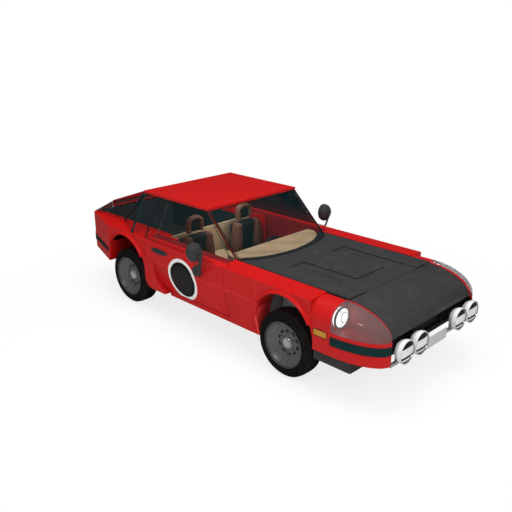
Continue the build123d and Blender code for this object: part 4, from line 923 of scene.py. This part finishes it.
# ---------------------------------------------------------------- side marker lamps
# One ribbed amber lens in a thin black gasket sits on each front wing, just behind the rubber
# strip; it is a moulded acrylic block held from behind.
y0, y1 = front_axle - 0.475, front_axle - 0.345
z0, z1 = 0.543, 0.592
rows, columns, gasket_gap = 9, 13, 0.003
for side, word in SIDES:
    lens = bmesh.new()
    for r in range(rows):
        low = z0 + (z1 - z0) * r / rows
        high = z0 + (z1 - z0) * (r + 1) / rows
        for c in range(columns):
            near = y0 + (y1 - y0) * c / columns
            far = y0 + (y1 - y0) * (c + 1) / columns
            corners = [(near, low), (far, low), (far, high), (near, high)]
            base = [lens.verts.new((side * (outer_face + 0.0042), y, z)) for y, z in corners]
            peak = lens.verts.new((side * (outer_face + 0.0075), (near + far) / 2, (low + high) / 2))
            for k in range(4):
                lens.faces.new((base[k], base[(k + 1) % 4], peak))
    edge = [(y0, z0), (y1, z0), (y1, z1), (y0, z1)]
    outer = [lens.verts.new((side * (outer_face + 0.0042), y, z)) for y, z in edge]
    inner = [lens.verts.new((side * (outer_face + 0.0003), y, z)) for y, z in edge]
    for k in range(4):
        lens.faces.new((outer[k], outer[(k + 1) % 4], inner[(k + 1) % 4], inner[k]))
    new_piece("side_marker_lens_" + word, lens, amber, "root", smooth=False)
    ends = ((-1, -1), (1, -1), (1, 1), (-1, 1))
    gasket_x = side * (outer_face + 0.0025)
    loop = []
    for (y, z), (u, v) in zip(edge, ends):
        loop.append((gasket_x, y + gasket_gap * u, z + gasket_gap * v))
    gasket = [(loop, 0.005, 0.005, (side, 0, 0), True)]
    strips("side_marker_gasket_" + word, gasket, seal_rubber, "root", "bumper_rubber")


# ---------------------------------------------------------------- mirrors
# Each door mirror is a die-cast egg-shaped shell on a flat bent strap, which springs from a
# domed foot screwed to the door; the glass sits in a recess at the back of the shell.
clean = {"dust_amount": 0.0}
mirror_skin = satin_material("mirror_enamel", (0.036, 0.037, 0.038), 0.33, 900.0, 0.0, 0.00005, **clean)
mirror_glass = silvered("mirror_glass", (0.9, 0.91, 0.92), 0.04)
mirror_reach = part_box("mirror_left")[1].x - 0.082
foot_y = front_axle + 1.112
foot_dome = [(0.0, 0.048), (0.014, 0.0472), (0.028, 0.0438), (0.040, 0.0370), (0.050, 0.0275)]
foot_dome += [(0.0565, 0.0160), (0.059, 0.0050), (0.0595, 0.0004)]
route = [(0.870, foot_y - 0.020, 0.684), (0.888, foot_y - 0.052, 0.690), (0.904, foot_y - 0.086, 0.708)]
route += [(0.915, foot_y - 0.112, 0.740), (0.922, foot_y - 0.134, 0.790), (0.928, foot_y - 0.152, 0.845)]
route += [(0.932, foot_y - 0.166, 0.895), (0.934, foot_y - 0.174, 0.935)]
bracket = [(0.926, foot_y - 0.172, 0.948), (0.950, foot_y - 0.172, 0.950), (0.982, foot_y - 0.160, 0.950)]
recess = 0.030
for side, word in SIDES:
    body = word + "_door"
    head = Vector((side * mirror_reach, foot_y - 0.091, 0.935))
    shell = bmesh.new()
    bmesh.ops.create_uvsphere(shell, u_segments=48, v_segments=32, radius=1.0)
    for v in shell.verts:
        fullness = 1.0 + 0.08 * v.co.z
        v.co.x *= 0.078 * fullness
        v.co.y *= 0.078 * fullness
        v.co.z *= 0.095
        if v.co.y > recess:
            v.co.y = recess + (v.co.y - recess) * 0.12
        v.co += head
    piece = new_piece("mirror_shell_" + word, shell, mirror_skin, body, angle=60)
    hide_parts("mirror_" + word)
    glass = bmesh.new()
    bmesh.ops.create_circle(glass, cap_ends=True, segments=48, radius=1.0)
    sheet = bmesh.ops.extrude_face_region(glass, geom=glass.faces[:])["geom"]
    for v in sheet:
        if isinstance(v, bmesh.types.BMVert):
            v.co.z = 1.0
    for v in glass.verts:
        v.co = head + Vector((v.co.x * 0.060, 0.0345 + v.co.z * 0.003, v.co.y * 0.076))
    new_piece("mirror_glass_" + word, glass, mirror_glass, body, smooth=False)
    dome = [(r, side * w) for r, w in foot_dome]
    foot_at = (side * 0.836, foot_y, 0.695)
    spun("mirror_foot_" + word, dome, 48, foot_at, mirror_skin, body, "dark_plastic", "x")
    strap = [(both_sides(route, side), 0.034, 0.020, (side * 0.5, -0.87, 0))]
    strips("mirror_strap_" + word, strap, mirror_skin, body, "dark_plastic")
    clip = [(both_sides(bracket, side), 0.012, 0.020)]
    strips("mirror_clip_" + word, clip, mirror_skin, body, "dark_plastic")


# ---------------------------------------------------------------- headlamp bucket rims
# A thin red lip runs along the inner edge of each headlamp bucket, where the wing pressing is
# folded over against the nose panel.
cover_low, cover_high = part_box("headlamp_covers")
nose_top, bucket_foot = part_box("nose_panel")[1].z, 0.610
run = []
for step in range(25):
    share = 0.985 * step / 24
    y = cover_high.y - (cover_high.y - cover_low.y) * share
    z = bucket_foot + (nose_top - bucket_foot) * sqrt(1 - share * share)
    run.append((0.6265, y, z + 0.0015))
for side, word in SIDES:
    lip = [(both_sides(run, side), 0.008, 0.006)]
    strips("bucket_lip_" + word, lip, plain_red, "root", "red_paint")


# ---------------------------------------------------------------- cabin trim
# The top pad of the dashboard, the console and the panel behind the seats are soft pads wrapped in tan
# grained vinyl; its shut edges are stitched, and darker diagonal stripes of painted shadow lie across the
# dashboard by the screen.
def make_hide_grain():
    """Pebbled grain of leather or vinyl, with creases and sun fading."""
    group, inside, outside = new_group(
        "hide_grain",
        [("Colour", "Color", (0.4, 0.3, 0.2, 1)), ("Grain", "Float", 350.0), ("Fade", "Float", 0.2)],
        [("Colour", "Color"), ("Roughness", "Float"), ("Height", "Float")],
    )
    place = object_place(group)
    cells = new_node(group, "TexVoronoi", Vector=place, Scale=inside["Grain"])
    cells.feature = "SMOOTH_F1"
    pebbles = cells.outputs["Distance"]
    creases = noise(group, place, 16.0, 6.0, 0.7)
    faded = times(group, remap(group, noise(group, place, 5.0), 0.4, 0.7), inside["Fade"])
    pale = blend_colour(group, 0.35, inside["Colour"], (1.0, 0.95, 0.88))
    worn = blend_colour(group, faded, inside["Colour"], pale)
    deep = blend_colour(group, 0.5, (0.0, 0.0, 0.0), worn)
    pores = times(group, remap(group, pebbles, 0.35, 0.75), 0.3)
    feed(
        group,
        outside,
        Colour=blend_colour(group, pores, worn, deep),
        Roughness=remap(group, creases, 0.3, 0.7, 0.42, 0.62),
        Height=maths(group, "ADD", pebbles, times(group, creases, 0.8)),
    )
    return group


hide_grain = make_hide_grain()


def hide_material(name, colour, grain=380.0, fade=0.25, streaks=None):
    """Leather or vinyl in one colour, with optional faint darker diagonal streaks of painted shadow in
    another.
    """
    material, tree, shader = new_material(name, Metallic=0.0, Specular_IOR_Level=0.4)
    tone = colour
    if streaks is not None:
        # painted shadow: faint darker diagonal streaks across the vinyl
        bands = waves(tree, object_place(tree), 1.5, "DIAGONAL", Distortion=0.4)
        band = times(tree, remap(tree, bands, 0.68, 0.80), 0.30)
        tone = blend_colour(tree, band, colour, streaks)
    hide = place_group(tree, hide_grain, Colour=tone, Grain=grain, Fade=fade)
    pebbled = bumped(tree, hide["Height"], 0.0009, 0.5)
    feed(tree, shader, Base_Color=hide["Colour"], Roughness=hide["Roughness"], Normal=pebbled)
    return material


TAN = (0.44, 0.30, 0.17)
finish_nodes(hide_material("dash_vinyl", TAN, streaks=(0.16, 0.13, 0.10)), "dashboard")
finish_nodes(hide_material("trim_vinyl", TAN), "cabin_trim")
wheel_hide = satin_material("wheel_rim_black", (0.018, 0.022, 0.024), 0.4, 500.0, 0.03)
finish_nodes(wheel_hide, "steering_wheel")


# ---------------------------------------------------------------- seats
# Two bucket seats: foam over a steel frame, with grey cloth centres sewn between fat brown
# leather bolsters, and an arched leather roll round the cloth pad of each headrest.
seat_leather = hide_material("seat_leather", (0.135, 0.050, 0.028), 300.0, 0.08)
seat_cloth, tree, shader = new_material("seat_cloth", Metallic=0.0, Specular_IOR_Level=0.12)
place = object_place(tree)
weave = times(tree, waves(tree, place, 130.0, "X"), waves(tree, place, 130.0, "Z"))
patch = noise(tree, place, 9.0, 4.0)
worn = remap(tree, patch, 0.35, 0.65)
ground = blend_colour(tree, worn, (0.014, 0.012, 0.011), (0.024, 0.020, 0.018))
feed(
    tree,
    shader,
    Base_Color=blend_colour(tree, times(tree, weave, 0.5), ground, (0.040, 0.036, 0.032)),
    Roughness=remap(tree, patch, 0.3, 0.7, 0.8, 0.95),
    Normal=bumped(tree, weave, 0.0012, 0.7),
)


def soft_block(mesh, x, half_width, y0, y1, z0, z1, round_off):
    """Adds a box of small faces whose corners are drawn in by the given share of roundness."""
    cuts = 8
    low, high = Vector((x - half_width, y0, z0)), Vector((x + half_width, y1, z1))
    centre, half = (low + high) / 2, (high - low) / 2
    spots = {}

    def spot(key):
        if key not in spots:
            p = Vector(key) * (2 / cuts) - Vector((1, 1, 1))
            p = p.lerp(p.normalized() * 1.18, round_off)
            p = Vector([max(-1.0, min(1.0, c)) for c in p])
            spots[key] = mesh.verts.new([c + h * q for c, h, q in zip(centre, half, p)])
        return spots[key]

    for a, b, fixed in ((0, 1, 2), (1, 2, 0), (2, 0, 1)):
        for level in (0, cuts):
            for u in range(cuts):
                for v in range(cuts):
                    quad = []
                    for du, dv in ((0, 0), (1, 0), (1, 1), (0, 1)):
                        key = [0, 0, 0]
                        key[a], key[b], key[fixed] = u + du, v + dv, level
                        quad.append(spot(tuple(key)))
                    mesh.faces.new(quad)
    return list(spots.values())


def apply_modifiers(pad):
    """Gives the mesh a piece's modifiers make, and takes them off."""
    made = bpy.data.meshes.new_from_object(pad.evaluated_get(bpy.context.evaluated_depsgraph_get()))
    pad.modifiers.clear()
    return made


def stuffed(name, mesh, material, fill, voxel=0.010, cap=0.014):
    """A filled pad: remeshed, blown up as cloth under pressure, with a cap on how far it swells."""
    bmesh.ops.recalc_face_normals(mesh, faces=mesh.faces[:])
    data = bpy.data.meshes.new(name)
    mesh.to_mesh(data)
    mesh.free()
    pad = bpy.data.objects.new(name, data)
    bpy.context.scene.collection.objects.link(pad)
    even = pad.modifiers.new("even_faces", "REMESH")
    even.mode = "VOXEL"
    even.voxel_size = voxel
    pad.data = apply_modifiers(pad)
    start = [v.co.copy() for v in pad.data.vertices]
    scene = bpy.context.scene
    cloth = pad.modifiers.new("filling", "CLOTH")
    cloth.settings.quality = 4
    cloth.settings.use_pressure = True
    cloth.settings.uniform_pressure_force = 4.0
    cloth.settings.effector_weights.gravity = 0.0
    cloth.settings.tension_stiffness = 12
    cloth.settings.compression_stiffness = 12
    cloth.point_cache.frame_start = 1
    cloth.point_cache.frame_end = 20
    for step in range(1, 21):
        scene.frame_set(step)
        bpy.context.view_layer.update()
    swollen = apply_modifiers(pad)
    for v, first in zip(swollen.vertices, start):
        move = v.co - first
        if move.length > cap:
            v.co = first + move.normalized() * cap
    pad.data = swollen
    scene.frame_set(1)
    smoother = pad.modifiers.new("even_skin", "SMOOTH")
    smoother.factor = 0.5
    smoother.iterations = 6
    finer = pad.modifiers.new("finer_skin", "SUBSURF")
    finer.levels = 1
    finer.render_levels = 1
    done = apply_modifiers(pad)
    pad.data = done
    done.name = name
    done.materials.clear()
    done.materials.append(material)
    done.shade_smooth()
    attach(pad, "root")
    return pad


def headrest_arch(middle):
    """An arched roll of leather: two upright legs and half an ellipse between them."""
    steps, around = 40, 20
    arch = bmesh.new()
    rings = []
    for step in range(steps + 1):
        share = step / steps
        if share < 0.3:
            spot = Vector((-0.086, 0, 0.852 + 0.095 * share / 0.3))
            outward = Vector((-1, 0, 0))
        elif share > 0.7:
            spot = Vector((0.086, 0, 0.852 + 0.095 * (1 - share) / 0.3))
            outward = Vector((1, 0, 0))
        else:
            a = pi - pi * (share - 0.3) / 0.4
            spot = Vector((0.086 * cos(a), 0, 0.947 + 0.056 * sin(a)))
            outward = Vector((cos(a), 0, sin(a) * 0.9)).normalized()
        swell = 1.0 + 0.12 * sin(pi * share)
        ring = []
        for k in range(around):
            a = 2 * pi * k / around
            offset = outward * (0.0245 * swell * cos(a)) + Vector((0, 1, 0)) * (0.034 * sin(a))
            ring.append(arch.verts.new(Vector((middle, seat_back + 0.072, 0)) + spot + offset))
        rings.append(ring)
    for a, b in zip(rings, rings[1:]):
        for k in range(around):
            arch.faces.new((a[k], a[(k + 1) % around], b[(k + 1) % around], b[k]))
    arch.faces.new(rings[0])
    arch.faces.new(rings[-1])
    return arch


seat_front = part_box("seats")[0].y
seat_back = front_axle + 1.640
bolster = {"fill": 0.9, "voxel": 0.009, "cap": 0.010}
rest_foot, rest_height = 0.345, 0.497
wing_foot, wing_height = 0.330, 0.506
for side, word in SIDES:
    middle = side * 0.36
    base = bmesh.new()
    soft_block(base, middle, 0.125, seat_front + 0.012, seat_back - 0.010, 0.268, 0.352, 0.25)
    piece = stuffed("seat_cushion_" + word, base, seat_cloth, 0.7)
    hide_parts("seats")
    rest = bmesh.new()
    soft_block(rest, middle, 0.112, seat_back - 0.004, seat_back + 0.086, rest_foot, 0.842, 0.22)
    for v in rest.verts:
        share = (v.co.z - rest_foot) / rest_height
        waist = 1 - 0.28 * sin(pi * min(1.0, max(0.0, share))) ** 2
        flare = 1.0 if share < 0.8 else 1.0 + (share - 0.8) * 0.9
        v.co.x = middle + (v.co.x - middle) * waist * flare
    stuffed("seat_back_centre_" + word, rest, seat_cloth, 0.7)
    pad = bmesh.new()
    soft_block(pad, middle, 0.058, seat_back + 0.052, seat_back + 0.094, 0.856, 1.000, 0.2)
    stuffed("headrest_pad_" + word, pad, seat_cloth, 0.6, voxel=0.008, cap=0.008)
    rolls = bmesh.new()
    for edge in (-1, 1):
        x0 = middle + edge * 0.158
        soft_block(rolls, x0, 0.046, seat_front + 0.004, seat_back - 0.006, 0.262, 0.392, 0.45)
    stuffed("seat_cushion_bolsters_" + word, rolls, seat_leather, **bolster)
    wings = bmesh.new()
    for edge in (-1, 1):
        x0 = middle + edge * 0.148
        y0, y1 = seat_back - 0.038, seat_back + 0.098
        verts = soft_block(wings, x0, 0.052, y0, y1, wing_foot, 0.836, 0.40)
        for v in verts:
            share = (v.co.z - wing_foot) / wing_height
            v.co.x = x0 + (v.co.x - x0) * (1 - 0.35 * max(0.0, share - 0.7) / 0.3)
            v.co.x -= edge * 0.012 * max(0.0, share - 0.55) / 0.45
    stuffed("seat_back_bolsters_" + word, wings, seat_leather, **bolster)
    arch = headrest_arch(middle)
    piece = new_piece("headrest_roll_" + word, arch, seat_leather, "root")
    shell = bmesh.new()
    soft_block(shell, middle, 0.190, seat_back + 0.070, seat_back + 0.108, 0.262, 0.820, 0.12)
    soft_block(shell, middle, 0.185, seat_front + 0.03, seat_back + 0.06, 0.243, 0.272, 0.08)
    new_piece("seat_shell_" + word, shell, dark_plastic, "root")


# ---------------------------------------------------------------- running gear
# The crossmember, steering uprights and rear axle are forged and cast steel in chassis black, the
# engine is a painted iron block, and the exhaust is plain steel tube gone brown with heat.
chassis_black = satin_material("chassis_black", (0.016, 0.016, 0.017), 0.5, 300.0, 0.2, dust_amount=0.5)
finish_nodes(chassis_black, "front_crossmember", "rear_axle", "knuckle_left", "knuckle_right")
block_paint = satin_material("engine_enamel", (0.030, 0.032, 0.034), 0.45, 260.0, 0.15, dust_amount=0.3)
finish_nodes(block_paint, "engine_block")
finish_nodes(silvered("pipe_steel", (0.30, 0.26, 0.22), 0.4), "exhaust")


# ---------------------------------------------------------------- stone guard
# Behind the grille's slats and above its scoop hangs a pressed steel stone guard with a
# diamond mesh, stove-enamelled black, that hides the radiator.
grille_low, grille_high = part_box("grille")
guard = bmesh.new()
guard_y, pressed = grille_high.y + 0.004, 0.004
columns, rows = 96, 14
grid = []
for r in range(rows + 1):
    line = []
    for c in range(columns + 1):
        x = -0.620 + 1.240 * c / columns
        z = grille_low.z + 0.012 + (grille_high.z - grille_low.z - 0.024) * r / rows
        line.append(guard.verts.new((x, guard_y + (pressed if (r + c) % 2 else 0.0), z)))
    grid.append(line)
for low, high in zip(grid, grid[1:]):
    for c in range(columns):
        guard.faces.new((low[c], low[c + 1], high[c + 1], high[c]))
new_piece("stone_guard", guard, grille_black, "root", smooth=False)


# ---------------------------------------------------------------- screen seals
# A moulded black rubber gasket with a teal bloom grips the windscreen all round, flat ones cover the
# pillars behind the doors and beside the tail pane, and one closes the deck under the tailgate.
rubber_on_body = (seal_rubber, "root", "bumper_rubber")
screen_half = 0.628
foot_line = []
for step in range(41):
    x = -0.612 + 1.224 * step / 40
    foot_line.append((x, -0.2705 - 0.257 * sqrt(1 - (x / screen_half) ** 2) - 0.003, 0.8395))
strips("screen_seal_foot", [(foot_line, 0.016, 0.007)], *rubber_on_body)
head_line = []
for step in range(17):
    x = -0.60 + 1.2 * step / 16
    head_line.append((x, 0.0885 - 0.010 * sqrt(1 - (x / screen_half) ** 2) - 0.006, 1.2275))
corner = [(0.613, -0.331, 0.842), (0.606, 0.0840, 1.226)]
runs = [(head_line, 0.008, 0.008)]
runs += [(both_sides(corner, side), 0.008, 0.010, (side, 0, 0)) for side, word in SIDES]
strips("screen_seal_head", runs, *rubber_on_body)
behind_door = [(0.8155, 1.1255, 0.8290), (0.6195, 1.1105, 1.2225)]
tail_line = [(0.6380, 1.5150, 0.8385), (0.6215, 1.1310, 1.2260)]
inner_tail_line = [(0.6250, 1.5350, 0.8385), (0.6185, 1.1400, 1.2260)]
vent_line = [(0.6660, -0.2680, 0.8390), (0.6170, 0.1040, 1.2160)]
pane_end = [(0.4015, 2.1085, 0.8420), (0.4015, 2.1085, 0.9130)]
for side, word in SIDES:
    runs = [
        (both_sides(behind_door, side), 0.030, 0.005, (side, 0, 0.5)),
        (both_sides(tail_line, side), 0.017, 0.005, (side, 0, 0.1)),
        (both_sides(inner_tail_line, side), 0.017, 0.005, (side, 0, 0.1)),
        (both_sides(vent_line, side), 0.010, 0.005, (side * 0.72, -0.44, 0.53)),
        (both_sides(pane_end, side), 0.006, 0.007, (0, 1, 0)),
    ]
    strips("pillar_seals_" + word, runs, strip_black, "root", "bumper_rubber")
deck_z = 0.828
sill_lip = [(-0.648, 2.106, deck_z + 0.0058), (0.648, 2.106, deck_z + 0.0058)]
pane_lip = [(-0.390, 2.106, deck_z + 0.0125), (0.390, 2.106, deck_z + 0.0125)]
strips("deck_seal", [(sill_lip, 0.010, 0.0116), (pane_lip, 0.008, 0.0100)], *rubber_on_body)


# ---------------------------------------------------------------- tailgate foot pane
# A narrow strip of the same tinted glass closes the slot in the tailgate's upright foot; it is
# bonded in from outside, with a thin rubber lip all round.
foot_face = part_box("tailgate")[1].y
pane = bmesh.new()
columns = 16
for rear in (0, 1):
    rows = []
    depth = foot_face - 0.0045 - 0.004 * rear
    for z in (0.8615, 0.8820, 0.9025):
        row = [(-0.3765 + 0.753 * c / columns, depth, z) for c in range(columns + 1)]
        rows.append([pane.verts.new(spot) for spot in row])
    for low, high in zip(rows, rows[1:]):
        for c in range(columns):
            loop = (low[c], low[c + 1], high[c + 1], high[c])
            pane.faces.new(loop[::-1] if rear == 0 else loop)
new_piece("tailgate_foot_pane", pane, tinted, "tailgate_lid")
outline = [(-0.3750, 0.8635), (0.3750, 0.8635), (0.3750, 0.9005), (-0.3750, 0.9005)]
outline = [(x, foot_face - 0.003, z) for x, z in outline]
runs = [(ends, 0.005, 0.004) for ends in zip(outline, outline[1:] + outline[:1])]
strips("tailgate_foot_lip", runs, seal_rubber, "tailgate_lid", "bumper_rubber")


# ---------------------------------------------------------------- tail corner strips
# The rubber strip of the rear bumper carries on round both tail corners as a flat moulded band.
start, end = Vector((0.8285, 1.600, 0)), Vector((0.6645, 2.112, 0))
run = [start.lerp(end, k / 12) for k in range(13)]
for side, word in SIDES:
    band = [(side * (p.x + 0.0015), p.y + 0.0005, 0.5265) for p in run]
    strips("tail_strip_" + word, [(band, 0.006, 0.052)], rubber, "root", "bumper_rubber")
